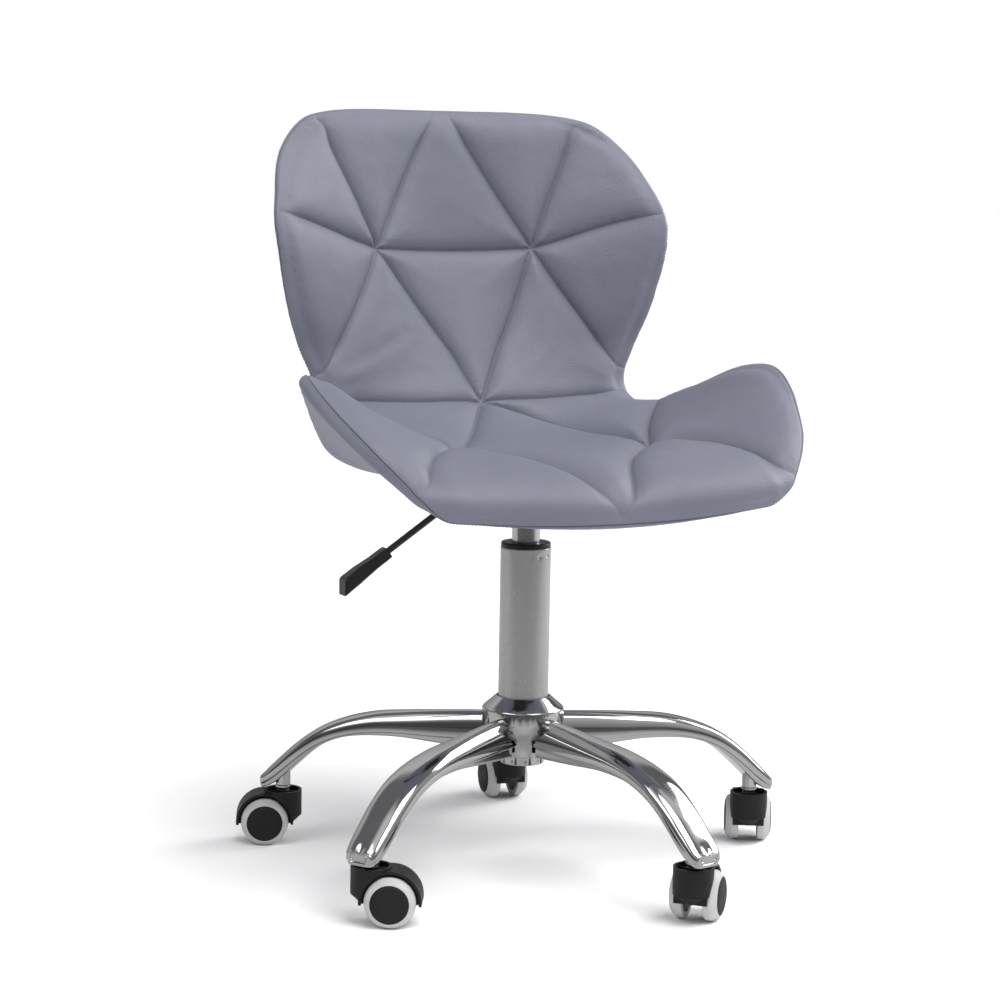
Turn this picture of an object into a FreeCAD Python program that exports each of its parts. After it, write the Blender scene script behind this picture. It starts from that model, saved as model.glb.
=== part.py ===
"""Swivel chair on a gas lift: bucket shell, column, five-leg base and twin-wheel castors.

Millimetres.  +Z is up, the sitter faces -Y, and the origin is on the floor under the
swivel axis.  The gas lift is modelled at its lowest position.
"""
import FreeCAD, Part

import math
import os
import re

import Sketcher

Vector = FreeCAD.Vector
Rotation = FreeCAD.Rotation
Placement = FreeCAD.Placement
UP = Vector(0, 0, 1)

# ---------------------------------------------------------------- driving dimensions

DIMENSIONS = {
    # gas lift column
    "column_radius": 25.0,
    "column_wall": 2.0,
    "column_top": 321.0,
    "column_foot": 103.0,
    "column_foot_radius": 19.2,
    "taper_top": 165.0,
    "collar_rise": 5.0,
    "collar_radius": 24.6,
    "bush_length": 55.0,
    "running_gap": 0.05,
    # gas cylinder and rod
    "cylinder_radius": 14.0,
    "cylinder_bore": 12.0,
    "cylinder_foot": 137.0,
    "cylinder_cap": 8.0,
    "cone_start": 341.0,
    "cone_radius": 13.2,
    "cylinder_head": 361.0,
    "chamber_top": 340.0,
    "rod_radius": 5.0,
    "groove_radius": 4.0,
    "rod_foot": 102.5,
    "clip_foot": 104.6,
    "clip_top": 106.9,
    "clip_radius": 9.0,
    "clip_gap": 5.0,
    "piston_foot": 278.0,
    "piston_top": 292.0,
    "button_radius": 4.0,
    "button_foot": 352.0,
    "button_top": 365.0,
    "button_well": 347.0,
    # thrust bearing at the column's foot
    "foot_plate_low": 108.0,
    "foot_plate_top": 112.0,
    "foot_plate_radius": 17.4,
    "ball_radius": 2.5,
    "ball_circle": 10.5,
    "ball_count": 8,
    "cage_half": 3.0,
    "race_low": 117.3,
    "race_top": 119.5,
    "race_radius": 14.0,
    "buffer_top": 134.0,
    "buffer_radius": 11.0,
    # hub
    "hub_mouth_radius": 27.0,
    "hub_mouth": 172.0,
    "hub_radius": 41.0,
    "hub_shoulder": 160.0,
    "hub_skirt": 148.0,
    "hub_foot": 113.0,
    "hub_foot_radius": 24.5,
    "ring_low": 104.0,
    "ring_radius": 22.0,
    "dimple_count": 10,
    "dimple_radius": 1.3,
    # legs and castor sockets
    "leg_count": 5,
    "leg_wall": 1.8,
    "first_leg": 65.76,
    "castor_circle": 253.0,
    "socket_radius": 7.5,
    "socket_bore": 5.5,
    "socket_foot": 60.0,
    "socket_top": 76.0,
    # castors
    "wheel_radius": 24.0,
    "trail": 18.5,
    "cut_reach": 50.0,
    "hood_rim": 55.0,
    "hood_foot": 21.0,
    "cup_radius": 19.2,
    "cup_bore": 16.6,
    "cup_depth": 9.0,
    "foot_bevel": 8.0,
    "rib_count": 8,
    "rib_width": 1.6,
    "stem_boss": 7.0,
    "fender_radius": 29.2,
    "fender_half": 16.0,
    "wheel_room": 26.6,
    "web_half": 9.4,
    "axle_boss": 7.0,
    "axle_radius": 3.0,
    "axle_half": 21.0,
    "stem_radius": 5.0,
    "stem_foot": 34.0,
    "stem_top": 74.0,
    "stem_flange": 8.0,
    "flange_low": 57.6,
    "flange_top": 59.6,
    "ring_groove": 4.4,
    "groove_low": 67.0,
    "groove_top": 70.5,
    "tread_inner": 9.8,
    "tread_outer": 16.8,
    "tread_seat": 18.2,
    "wheel_face": 23.2,
    "disc_rise": 1.3,
    # seat mounting plate and lever
    "plate_width": 150.0,
    "plate_depth": 110.0,
    "plate_low": 379.0,
    "plate_thickness": 2.5,
    "plate_corner": 14.0,
    "dome_radius": 46.0,
    "dome_foot_radius": 22.0,
    "dome_low": 359.0,
    "dome_wall": 3.0,
    "sleeve_radius": 17.0,
    "bolt_across": 60.0,
    "bolt_along": 40.0,
    "bolt_radius": 3.0,
    "bolt_head": 5.0,
    "bolt_head_height": 4.0,
    "bolt_socket": 2.8,
    "bolt_top": 391.5,
    "tee_nut_radius": 4.5,
    "tee_flange": 9.0,
    "tee_height": 6.5,
    "tee_flange_thickness": 1.2,
    "lever_height": 368.6,
    "lever_radius": 3.2,
    "lever_inner": 6.0,
    "lever_bend": 82.5,
    "lever_bend_radius": 12.8,
    "lever_slope": 33.5,
    "lever_run": 103.0,
    "grip_start": 81.0,
    # bucket shell layers
    "seam_margin": 1.5,
    "board_thickness": 7.0,
    "cover_thickness": 1.2,
}

# Castor headings: the way each wheel pair trails from its stem, in leg order.
CASTOR_HEADINGS = (82.0, 158.0, 331.0, 44.0, 59.0)

# Pressed steel leg: distance out, top, bottom, half width, shoulder drop, skirt half width,
# squareness of the arch.
LEG_STATIONS = (
    (15, 154.5, 113.0, 12.8, 26.0, 8.0, 0.85),
    (45, 153.5, 114.5, 13.0, 26.0, 8.0, 0.85),
    (84, 150.5, 117.0, 13.8, 24.0, 8.5, 0.82),
    (125, 146.5, 121.0, 15.5, 19.5, 10.0, 0.78),
    (150, 143.5, 122.0, 16.6, 16.5, 11.5, 0.74),
    (172, 138.5, 121.5, 17.5, 13.5, 13.0, 0.70),
    (190, 133.0, 118.0, 18.0, 12.0, 14.0, 0.67),
    (208, 125.5, 110.0, 18.2, 11.5, 14.8, 0.64),
    (224, 115.5, 98.0, 18.0, 12.0, 15.2, 0.62),
    (240, 103.0, 83.5, 17.6, 13.0, 15.2, 0.60),
    (254, 90.5, 71.0, 17.0, 12.5, 15.0, 0.60),
    (264, 81.0, 64.5, 16.2, 10.0, 14.4, 0.60),
    (271, 73.5, 61.5, 14.8, 7.0, 13.2, 0.60),
    (274, 70.0, 61.0, 12.6, 5.0, 11.4, 0.60),
)

# Shell board: centre line from the front edge, under the seat and up the back (y, z).
CENTRE_LINE = (
    (-195, 372), (-187, 386), (-168, 396), (-135, 400), (-90, 400), (-30, 399.5), (25, 401),
    (66, 409), (102, 428), (131, 459), (152, 499), (170, 545), (187, 595), (200, 647),
    (208, 697), (211, 747),
)

# Shell border: share of the centre line, half width, lift off the centre line's tangent plane,
# how much further along the border lies than the middle.
BORDER = (
    (0.000, 168, -9, 16), (0.014, 180, -5, 12), (0.030, 192, 5, 8.5), (0.052, 203, 14, 5),
    (0.088, 222, 36, 2.5), (0.130, 236, 58, 0), (0.185, 247, 83, 0), (0.240, 248, 101, 0),
    (0.285, 235, 99, 0), (0.330, 221, 88, 0), (0.375, 210, 75, 0), (0.420, 200, 60, 0),
    (0.460, 188, 41, 0), (0.500, 175, 22, 0), (0.535, 169, 19, 0), (0.575, 172, 26, 0),
    (0.610, 183, 35, 0), (0.655, 196, 52, 0), (0.700, 206, 68, 0), (0.750, 213, 82, 0),
    (0.795, 216, 86, 0), (0.840, 212, 81, 0), (0.890, 204, 67, 0), (0.930, 193, 53, 0),
    (0.962, 179, 41, -1.5), (0.984, 169, 36, -8), (1.000, 161, 33, -15),
)

# Share of the centre line, rise of the padded front at the middle, depth of the shell at its edge
# and at its middle, how late the sides curl up, how late they run ahead.
SECTIONS = (
    (0.00, 1, 13, 13, 1.6, 2.3), (0.05, 12, 15.5, 15.5, 3.0, 2.3), (0.15, 24, 16, 16, 3.0, 2.3),
    (0.27, 26, 16, 16, 3.0, 3.0), (0.35, 26, 16, 18, 3.0, 3.0), (0.40, 26, 16, 25, 3.0, 3.0),
    (0.44, 25, 15, 38, 3.0, 3.0), (0.475, 24, 14, 48, 2.9, 3.0), (0.51, 23, 13, 43, 2.7, 3.0),
    (0.54, 21, 12.5, 34, 2.5, 3.0), (0.61, 17, 11, 21, 2.2, 3.5), (0.70, 14, 10.5, 13, 2.1, 4.0),
    (0.80, 13, 10.5, 10.5, 2.0, 4.0), (0.95, 9, 10.5, 10.5, 2.0, 4.0), (1.00, 1, 10.5, 10.5, 2.0, 4.0),
)

# Mounting bolts: rules for their places (x, y).
BOLT_PLACES = (("bolt_across", "bolt_along"), ("-bolt_across", "bolt_along"),
               ("-bolt_across", "-bolt_along"), ("bolt_across", "-bolt_along"))

# Grip sections: distance along, half width, rise above and drop below the rod's line, bevel.
GRIP_STATIONS = ((0, 6.2, 5.0, 5.4, 1.0, 0.0), (4, 6.4, 5.4, 5.8, 1.2, 0.0),
                 (18, 6.8, 5.6, 6.0, 1.8, 0.0), (38, 7.8, 6.8, 7.4, 2.2, 0.3),
                 (54, 8.2, 6.4, 7.8, 1.6, 0.66), (56, 7.4, 5.8, 7.2, 1.0, 0.66))

# Domed face of a wheel disc: angles from its rim to its crown.
DOME_ANGLES = (60, 35, 15, 0)

# Places across the shell where its surface is fixed, as shares of the half width.
ACROSS = (0.0, 0.17, 0.34, 0.50, 0.65, 0.78, 0.89, 0.96, 1.0)

# ---------------------------------------------------------------- document and helpers

doc = FreeCAD.newDocument("swivel_chair")
sheet = doc.addObject("Spreadsheet::Sheet", "dimensions")
for row, (alias, number) in enumerate(DIMENSIONS.items(), start=1):
    sheet.set("A%d" % row, alias)
    sheet.set("B%d" % row, "%g" % number)
    sheet.setAlias("B%d" % row, alias)
doc.recompute()

SUBPARTS = []


def cell(word):
    """Name of a dimension's cell; any other word stays as it is."""
    return "dimensions." + word[0] if word[0] in DIMENSIONS else word[0]


def cells(rule):
    """Turn a rule in the sheet's words into a FreeCAD expression."""
    return re.sub(r"[a-z_]+", cell, rule)


def size(rule):
    """Work a rule out from the sheet, in mm or degrees."""
    answer = sheet.evalExpression(cells(rule))
    return float(getattr(answer, "Value", answer))


def bind(thing, **rules):
    """Bind properties of an object to rules in the sheet's words."""
    for name, rule in rules.items():
        thing.setExpression(name, cells(rule))
    return thing


def keep(thing, label):
    """List an object as a sub-part of the chair under its own name."""
    thing.Label = label
    SUBPARTS.append(thing)
    return thing


def draw(sketch, outline):
    """Draw a closed outline of straight runs; its corners are pairs of rules."""
    corners = [Vector(size(across), size(along), 0) for across, along in outline]
    for here, there in zip(corners, corners[1:] + corners[:1]):
        sketch.addGeometry(Part.LineSegment(here, there))
    count = len(corners)
    for index in range(count):
        sketch.addConstraint(Sketcher.Constraint("Coincident", index, 2, (index + 1) % count, 1))
    for index, rules in enumerate(outline):
        for kind, rule, value in zip(("DistanceX", "DistanceY"), rules, corners[index]):
            number = sketch.addConstraint(Sketcher.Constraint(kind, -1, 1, index, 1, value))
            sketch.setExpression("Constraints[%d]" % number, cells(rule))


def new_sketch(body, name, plane):
    """Make a sketch on one of a body's own origin planes."""
    sketch = body.newObject("Sketcher::SketchObject", name)
    base = next(item for item in body.Origin.OriginFeatures if item.Role == plane)
    sketch.AttachmentSupport = [(base, "")]
    sketch.MapMode = "FlatFace"
    return sketch


def turned(name, outline, plane="XZ_Plane"):
    """Revolve an outline (radius, height) about the upright axis of its sketch."""
    body = doc.addObject("PartDesign::Body", name)
    sketch = new_sketch(body, name + "_outline", plane)
    draw(sketch, outline)
    turn = body.newObject("PartDesign::Revolution", name + "_turn")
    turn.Profile = sketch
    turn.ReferenceAxis = (sketch, ["V_Axis"])
    turn.Angle = 360
    return body


def cylinder(name, radius, low, high):
    """Upright cylinder between two heights."""
    solid = doc.addObject("Part::Cylinder", name)
    bind(solid, Radius=radius, Height="(%s) - (%s)" % (high, low))
    solid.setExpression("Placement.Base.z", cells(low))
    return solid


def cross_cylinder(name, radius, out, up, near, far):
    """Cylinder along Y, at a distance out along X and a height."""
    solid = doc.addObject("Part::Cylinder", name)
    bind(solid, Radius=radius, Height="(%s) - (%s)" % (far, near))
    solid.Placement = Placement(Vector(), Rotation(Vector(1, 0, 0), -90))
    for axis, rule in zip("xyz", (out, near, up)):
        solid.setExpression("Placement.Base." + axis, cells(rule))
    return solid


def block(name, corner, lengths):
    """Box from its low corner and its three lengths, all rules."""
    solid = doc.addObject("Part::Box", name)
    bind(solid, Length=lengths[0], Width=lengths[1], Height=lengths[2])
    for axis, rule in zip("xyz", corner):
        solid.setExpression("Placement.Base." + axis, cells(rule))
    return solid


def fuse(name, *solids):
    joined = doc.addObject("Part::MultiFuse", name)
    joined.Shapes = list(solids)
    joined.Refine = True
    return joined


def cut(name, base, *tools):
    """Take one or more solids away from another."""
    tool = tools[0] if len(tools) == 1 else fuse(name + "_tool", *tools)
    rest = doc.addObject("Part::Cut", name)
    rest.Base = base
    rest.Tool = tool
    return rest


def group(name, solids):
    """Hold identical separate solids together as one sub-part."""
    held = doc.addObject("Part::Compound", name)
    held.Links = list(solids)
    return held


def about_axis(angle, distance=0.0):
    """Placement at a distance out from the swivel axis in a direction, turned to face it."""
    turn = Rotation(UP, angle)
    return Placement(turn.multVec(Vector(distance, 0, 0)), turn)


# ---------------------------------------------------------------- gas lift

def column_radius_at(height):
    """Rule for the outer radius of the column's tapered foot."""
    slope = "(column_radius - column_foot_radius) / (taper_top - column_foot)"
    return "column_foot_radius + (%s - column_foot) * %s" % (height, slope)


def column_tube():
    return turned("column_tube", [
        ("column_foot_radius - column_wall", "column_foot"), ("column_foot_radius", "column_foot"),
        ("column_radius", "taper_top"), ("column_radius", "column_top"),
        ("column_radius - column_wall", "column_top"), ("column_radius - column_wall", "taper_top"),
    ])


def guide_bush():
    """Plastic sleeve in the top of the column, with the collar that shows above it."""
    bore = "cylinder_radius + running_gap"
    return turned("guide_bush", [
        (bore, "column_top - bush_length"), ("column_radius - column_wall", "column_top - bush_length"),
        ("column_radius - column_wall", "column_top"), ("collar_radius", "column_top"),
        ("collar_radius", "column_top + collar_rise - 1"),
        ("collar_radius - 1", "column_top + collar_rise"), (bore, "column_top + collar_rise"),
    ])


def foot_plate():
    """Plate closing the column's foot, which the rod passes through."""
    return turned("foot_plate", [
        ("rod_radius + running_gap", "foot_plate_low"), ("foot_plate_radius", "foot_plate_low"),
        ("foot_plate_radius", "foot_plate_top"), ("rod_radius + running_gap", "foot_plate_top"),
    ])


def bearing_balls():
    """Ball ring of the thrust bearing: balls held in a flat cage."""
    disc = cylinder("cage_disc", "ball_circle + cage_half", "foot_plate_top + ball_radius - 0.8",
                    "foot_plate_top + ball_radius + 0.8")
    cage = cut("ball_cage", disc,
               cylinder("cage_hole", "ball_circle - cage_half", "foot_plate_top", "race_low"))
    balls = []
    for number in range(int(size("ball_count"))):
        ball = doc.addObject("Part::Sphere", "ball_%d" % number)
        bind(ball, Radius="ball_radius")
        ball.setExpression("Placement.Base.x", cells("ball_circle * cos(%d * 360 / ball_count)" % number))
        ball.setExpression("Placement.Base.y", cells("ball_circle * sin(%d * 360 / ball_count)" % number))
        ball.setExpression("Placement.Base.z", cells("foot_plate_top + ball_radius"))
        balls.append(ball)
    return fuse("bearing_balls", cage, *balls)


def bearing_race():
    return turned("bearing_race", [
        ("rod_radius", "race_low"), ("race_radius", "race_low"),
        ("race_radius", "race_top"), ("rod_radius", "race_top"),
    ])


def rubber_buffer():
    """Rubber sleeve that cushions the cylinder at the bottom of its travel."""
    return turned("rubber_buffer", [
        ("rod_radius", "race_top"), ("buffer_radius", "race_top"),
        ("buffer_radius", "buffer_top - 3"), ("buffer_radius - 2", "buffer_top"),
        ("rod_radius", "buffer_top"),
    ])


def piston_rod():
    return turned("piston_rod", [
        ("0", "rod_foot"), ("rod_radius", "rod_foot"), ("rod_radius", "clip_foot - 0.1"),
        ("groove_radius", "clip_foot - 0.1"), ("groove_radius", "clip_top + 0.1"),
        ("rod_radius", "clip_top + 0.1"), ("rod_radius", "piston_foot"),
        ("cylinder_bore - running_gap", "piston_foot"), ("cylinder_bore - running_gap", "piston_top"),
        ("0", "piston_top"),
    ])


def retaining_clip():
    """Open spring clip in the rod's groove, under the foot plate."""
    ring = cut("clip_ring", cylinder("clip_disc", "clip_radius", "clip_foot", "clip_top"),
               cylinder("clip_hole", "groove_radius", "clip_foot - 1", "clip_top + 1"))
    gap = block("clip_opening", ("0", "-clip_gap / 2", "clip_foot - 1"),
                ("2 * clip_radius", "clip_gap", "clip_top - clip_foot + 2"))
    return cut("retaining_clip", ring, gap)


def gas_cylinder():
    bore = "rod_radius + running_gap"
    well = "button_radius + running_gap"
    return turned("cylinder_tube", [
        (bore, "cylinder_foot"), ("cylinder_radius - 1", "cylinder_foot"),
        ("cylinder_radius", "cylinder_foot + 1"), ("cylinder_radius", "cone_start"),
        ("cone_radius", "dome_low"), ("cone_radius", "cylinder_head - 1"),
        ("cone_radius - 1", "cylinder_head"), (well, "cylinder_head"), (well, "button_well"),
        ("0", "button_well"), ("0", "chamber_top"), ("cylinder_bore", "chamber_top"),
        ("cylinder_bore", "cylinder_foot + cylinder_cap"), (bore, "cylinder_foot + cylinder_cap"),
    ])


def release_button():
    return turned("release_button", [
        ("0", "button_foot"), ("button_radius", "button_foot"),
        ("button_radius", "button_top - 1"), ("button_radius - 1", "button_top"), ("0", "button_top"),
    ])


# ---------------------------------------------------------------- hub and legs

HUB_WALL = [
    ("hub_mouth_radius", "hub_mouth"), ("hub_radius - 1.2", "hub_shoulder + 1"),
    ("hub_radius", "hub_shoulder - 1"), ("hub_radius", "hub_skirt"),
    ("hub_radius - 3.5", "hub_skirt - 9"), ("hub_radius - 10", "hub_skirt - 18"),
    ("hub_radius - 14.5", "hub_skirt - 27"), ("hub_foot_radius", "hub_foot"),
]


def hub():
    """Cone, side wall and waist of the hub, bored to the column's taper."""
    return turned("hub", HUB_WALL + [
        (column_radius_at("hub_foot"), "hub_foot"), ("column_radius", "taper_top"),
        ("column_radius + 1.2", "hub_mouth"),
    ])


def hub_ring():
    """Crimped ring round the column's foot, with a row of punch dimples."""
    ring = turned("hub_ring_blank", [
        (column_radius_at("ring_low"), "ring_low"), ("ring_radius - 0.8", "ring_low"),
        ("ring_radius", "ring_low + 1"), ("ring_radius", "hub_foot"),
        (column_radius_at("hub_foot"), "hub_foot"),
    ])
    dimples = []
    for number in range(int(size("dimple_count"))):
        dimple = doc.addObject("Part::Sphere", "dimple_%d" % number)
        bind(dimple, Radius="dimple_radius")
        for axis, turn in (("x", "cos"), ("y", "sin")):
            rule = "(ring_radius + 0.5) * %s(%d * 360 / dimple_count)" % (turn, number)
            dimple.setExpression("Placement.Base." + axis, cells(rule))
        dimple.setExpression("Placement.Base.z", cells("(ring_low + hub_foot) / 2"))
        dimples.append(dimple)
    return cut("hub_ring", ring, *dimples)


ARCH_STEPS = 8


def leg_section(station, inset):
    """Closed section of the leg: domed top, shoulders and a narrower skirt."""
    out, top, bottom, half, drop, skirt, square = station
    shoulder = top - drop
    half -= inset
    skirt -= inset
    top -= inset
    bottom += inset
    arch = []
    for step in range(ARCH_STEPS + 1):
        turn = math.pi * step / ARCH_STEPS
        across = math.copysign(abs(math.cos(turn)) ** square, math.cos(turn))
        rise = math.sin(turn) ** square if 0 < step < ARCH_STEPS else 0.0
        arch.append(Vector(out, half * across, shoulder + (top - shoulder) * rise))
    crown = Part.BSplineCurve()
    crown.interpolate(arch)
    ledge = max(shoulder - 1.6, bottom + 0.8)
    corners = [arch[-1], Vector(out, -skirt, ledge), Vector(out, -skirt, bottom),
               Vector(out, skirt, bottom), Vector(out, skirt, ledge), arch[0]]
    edges = [crown.toShape()] + [Part.makeLine(a, b) for a, b in zip(corners, corners[1:])]
    return Part.Wire(edges)


def leg_shape():
    """Hollow pressed leg along +X, cut to seat on the hub and pierced for the castor socket."""
    wall = size("leg_wall")
    skin = Part.makeLoft([leg_section(station, 0.0) for station in LEG_STATIONS], True, False)
    hollow = Part.makeLoft([leg_section(station, wall) for station in LEG_STATIONS[:-1]], True, False)
    wall_line = [Vector(size(a), 0, size(b)) for a, b in HUB_WALL]
    outline = [Vector(0, 0, wall_line[0].z)] + wall_line + [Vector(0, 0, wall_line[-1].z)]
    core = Part.Face(Part.makePolygon(outline + outline[:1])).revolve(Vector(), UP, 360)
    low = Part.makeCylinder(size("ring_radius + 2"), size("hub_foot"), Vector())
    reach = Vector(size("castor_circle"), 0, 0)
    hole = Part.makeCylinder(size("socket_radius"), size("socket_top"), reach)
    return skin.cut(hollow).cut(core.fuse(low)).cut(hole)


def legs():
    """Five alike pressed legs round the hub."""
    pressing = max(leg_shape().Solids, key=lambda solid: solid.Volume)
    for number in range(int(size("leg_count"))):
        leg = doc.addObject("Part::Feature", "leg_%d" % (number + 1))
        leg.Shape = pressing.copy()
        leg.Placement = about_axis(leg_angle(number))
        keep(leg, "leg_%d" % (number + 1))


def leg_angle(number):
    return size("first_leg + %d * 360 / leg_count" % number)


def castor_fittings():
    """Sockets welded in the leg tips, the castor stems in them and the stems' spring rings."""
    sockets, stems, rings = [], [], []
    for number in range(int(size("leg_count"))):
        place = about_axis(leg_angle(number), size("castor_circle"))
        sockets.append(turned("socket_%d" % number, [
            ("socket_bore", "socket_foot"), ("socket_radius", "socket_foot"),
            ("socket_radius", "socket_top"), ("socket_bore", "socket_top"),
        ]))
        stems.append(turned("stem_%d" % number, [
            ("0", "stem_foot"), ("stem_radius - 1", "stem_foot"), ("stem_radius", "stem_foot + 1"),
            ("stem_radius", "flange_low"), ("stem_flange", "flange_low"),
            ("stem_flange", "flange_top"), ("stem_radius", "flange_top"),
            ("stem_radius", "groove_low"), ("ring_groove", "groove_low"),
            ("ring_groove", "groove_top"), ("stem_radius", "groove_top"),
            ("stem_radius", "stem_top - 1"), ("stem_radius - 1", "stem_top"), ("0", "stem_top"),
        ]))
        rings.append(turned("spring_ring_%d" % number, [
            ("ring_groove", "groove_low"), ("socket_bore - 0.2", "groove_low"),
            ("socket_bore", "(groove_low + groove_top) / 2"),
            ("socket_bore - 0.2", "groove_top"), ("ring_groove", "groove_top"),
        ]))
        for piece in (sockets[-1], stems[-1], rings[-1]):
            piece.Placement = place
    keep(group("castor_sockets", sockets), "castor_sockets")
    keep(group("castor_stems", stems), "castor_stems")
    keep(group("stem_spring_rings", rings), "stem_spring_rings")


# ---------------------------------------------------------------- castors

def castor_hood(tag):
    """Cup round the stem on a bevelled foot, fender over both wheels, web and axle boss."""
    cup = cylinder("cup" + tag, "cup_radius", "hood_foot + foot_bevel", "hood_rim")
    foot = bind(doc.addObject("Part::Cone", "cup_foot" + tag),
                Radius1="cup_radius - foot_bevel", Radius2="cup_radius", Height="foot_bevel")
    foot.setExpression("Placement.Base.z", cells("hood_foot"))
    arch = cross_cylinder("arch" + tag, "fender_radius", "trail", "wheel_radius",
                          "-fender_half", "fender_half")
    boss = cross_cylinder("boss" + tag, "axle_boss", "trail", "wheel_radius", "-web_half", "web_half")
    below = block("below" + tag, ("-cut_reach", "-cut_reach", "hood_foot - cut_reach"),
                  ("3 * cut_reach", "2 * cut_reach", "cut_reach"))
    bulk = fuse("hood_bulk" + tag, cup, foot, cut("arch_top" + tag, arch, below))
    recess = cylinder("recess" + tag, "cup_bore", "hood_rim - cup_depth", "hood_rim + 1")
    shell = cut("hood_shell" + tag, bulk, recess)
    stem_boss = cylinder("stem_boss" + tag, "stem_boss", "hood_foot", "hood_rim - 1")
    ribs = [cup_rib(number, tag) for number in range(int(size("rib_count / 2")))]
    solid = fuse("hood_solid" + tag, shell, boss, stem_boss, *ribs)
    bore = cylinder("stem_bore" + tag, "stem_radius + running_gap", "stem_foot - 1", "hood_rim + 1")
    axle_hole = cross_cylinder("axle_hole" + tag, "axle_radius", "trail", "wheel_radius",
                               "-cut_reach", "cut_reach")
    rooms = [cross_cylinder("room_%s%s" % (side, tag), "wheel_room", "trail", "wheel_radius", near, far)
             for side, near, far in (("a", "web_half", "cut_reach"), ("b", "-cut_reach", "-web_half"))]
    return cut("castor_hood" + tag, solid, bore, axle_hole, *rooms)


def cup_rib(number, tag):
    """Upright rib across the cup's recess, from wall to wall."""
    rib = doc.addObject("Part::Box", "rib_%d%s" % (number, tag))
    bind(rib, Length="2 * cup_bore + 1", Width="rib_width", Height="cup_depth - 2")
    turn = Rotation(UP, 360 / size("rib_count") * (number + 0.5))
    corner = turn.multVec(Vector(-size("cup_bore + 0.5"), -size("rib_width / 2"), 0))
    rib.Placement = Placement(corner + UP * size("hood_rim - cup_depth - 1"), turn)
    return rib


def wheel_pieces(tag):
    """Black wheel disc with a domed face, and the grey tread round it."""
    rim = "tread_seat"
    dome = [("%s * sin(%g)" % (rim, angle), "wheel_face + disc_rise * cos(%g)" % angle)
            for angle in DOME_ANGLES]
    disc = turned("wheel_disc" + tag, [
        ("axle_radius + running_gap", "tread_inner"), (rim, "tread_inner"), (rim, "wheel_face - 0.6"),
    ] + dome + [
        ("0", "axle_half + 0.5"), ("axle_radius + running_gap", "axle_half + 0.5"),
    ], "XY_Plane")
    tread = turned("wheel_tread" + tag, [
        (rim, "tread_inner"), ("wheel_radius - 0.6", "tread_inner"), ("wheel_radius", "tread_inner + 0.6"),
        ("wheel_radius", "tread_outer - 1"), ("wheel_radius - 0.8", "tread_outer + 1"),
        ("wheel_radius - 3", "tread_outer + 4"), (rim + " + 1", "wheel_face - 0.6"), (rim, "wheel_face"),
    ], "XY_Plane")
    return disc, tread


def castors():
    """Five castors, each a hood and axle that swivel on the stem and two free wheels."""
    for number, heading in enumerate(CASTOR_HEADINGS):
        tag = "_%d" % (number + 1)
        stem = about_axis(leg_angle(number), size("castor_circle")).Base
        facing = Placement(stem, Rotation(UP, heading))
        hood = keep(castor_hood(tag), "castor_hood" + tag)
        hood.Placement = facing
        centre = Vector(size("trail"), 0, size("wheel_radius"))
        axle = bind(doc.addObject("Part::Cylinder", "castor_axle" + tag),
                    Radius="axle_radius", Height="2 * axle_half")
        axle.Placement = facing.multiply(
            Placement(centre - Vector(0, size("axle_half"), 0), Rotation(Vector(1, 0, 0), -90)))
        keep(axle, "castor_axle" + tag)
        for side, half_turn in (("a", 0.0), ("b", 180.0)):
            place = facing.multiply(Placement(centre, Rotation(UP, half_turn)))
            for piece, word in zip(wheel_pieces(tag + side), ("wheel_disc", "wheel_tread")):
                keep(piece, word + tag + side).Placement = place


# ---------------------------------------------------------------- seat plate and lever

def mounting_plate():
    """Steel plate under the seat with a pressed dome and the tapered sleeve for the gas lift."""
    plate = block("plate_blank", ("-plate_width / 2", "-plate_depth / 2", "plate_low"),
                  ("plate_width", "plate_depth", "plate_thickness"))
    doc.recompute()
    upright = [index for index, edge in enumerate(plate.Shape.Edges, start=1)
               if abs(edge.Vertexes[0].Z - edge.Vertexes[-1].Z) > 1]
    rounded = doc.addObject("Part::Fillet", "plate_rounded")
    rounded.Base = plate
    rounded.Edges = [(index, size("plate_corner"), size("plate_corner")) for index in upright]
    dome = turned("plate_dome", [
        ("cylinder_radius", "cone_start"), ("sleeve_radius", "cone_start"),
        ("sleeve_radius", "dome_low - dome_wall"), ("dome_foot_radius", "dome_low - dome_wall"),
        ("dome_radius", "plate_low"), ("dome_radius - dome_wall", "plate_low + plate_thickness"),
        ("dome_radius - 2 * dome_wall", "plate_low"), ("dome_foot_radius - dome_wall", "dome_low"),
        ("cone_radius", "dome_low"),
    ])
    mouth = cylinder("plate_mouth", "dome_radius - dome_wall", "plate_low - 1", "plate_low + 10")
    slot = block("lever_slot",
                 ("-dome_radius - 5", "-lever_radius - 1", "lever_height - lever_radius - 1.5"),
                 ("dome_radius", "2 * lever_radius + 2", "2 * lever_radius + 5"))
    holes = [cylinder_at("plate_hole_%d" % number, "bolt_radius + 0.3", x, y,
                         "plate_low - 1", "plate_low + plate_thickness + 1")
             for number, (x, y) in enumerate(BOLT_PLACES)]
    flat = cut("plate_flat", rounded, mouth)
    return cut("mounting_plate", fuse("plate_and_dome", flat, dome), slot, *holes)


def cylinder_at(name, radius, x, y, low, high):
    solid = cylinder(name, radius, low, high)
    solid.setExpression("Placement.Base.x", cells(x))
    solid.setExpression("Placement.Base.y", cells(y))
    return solid


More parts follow.
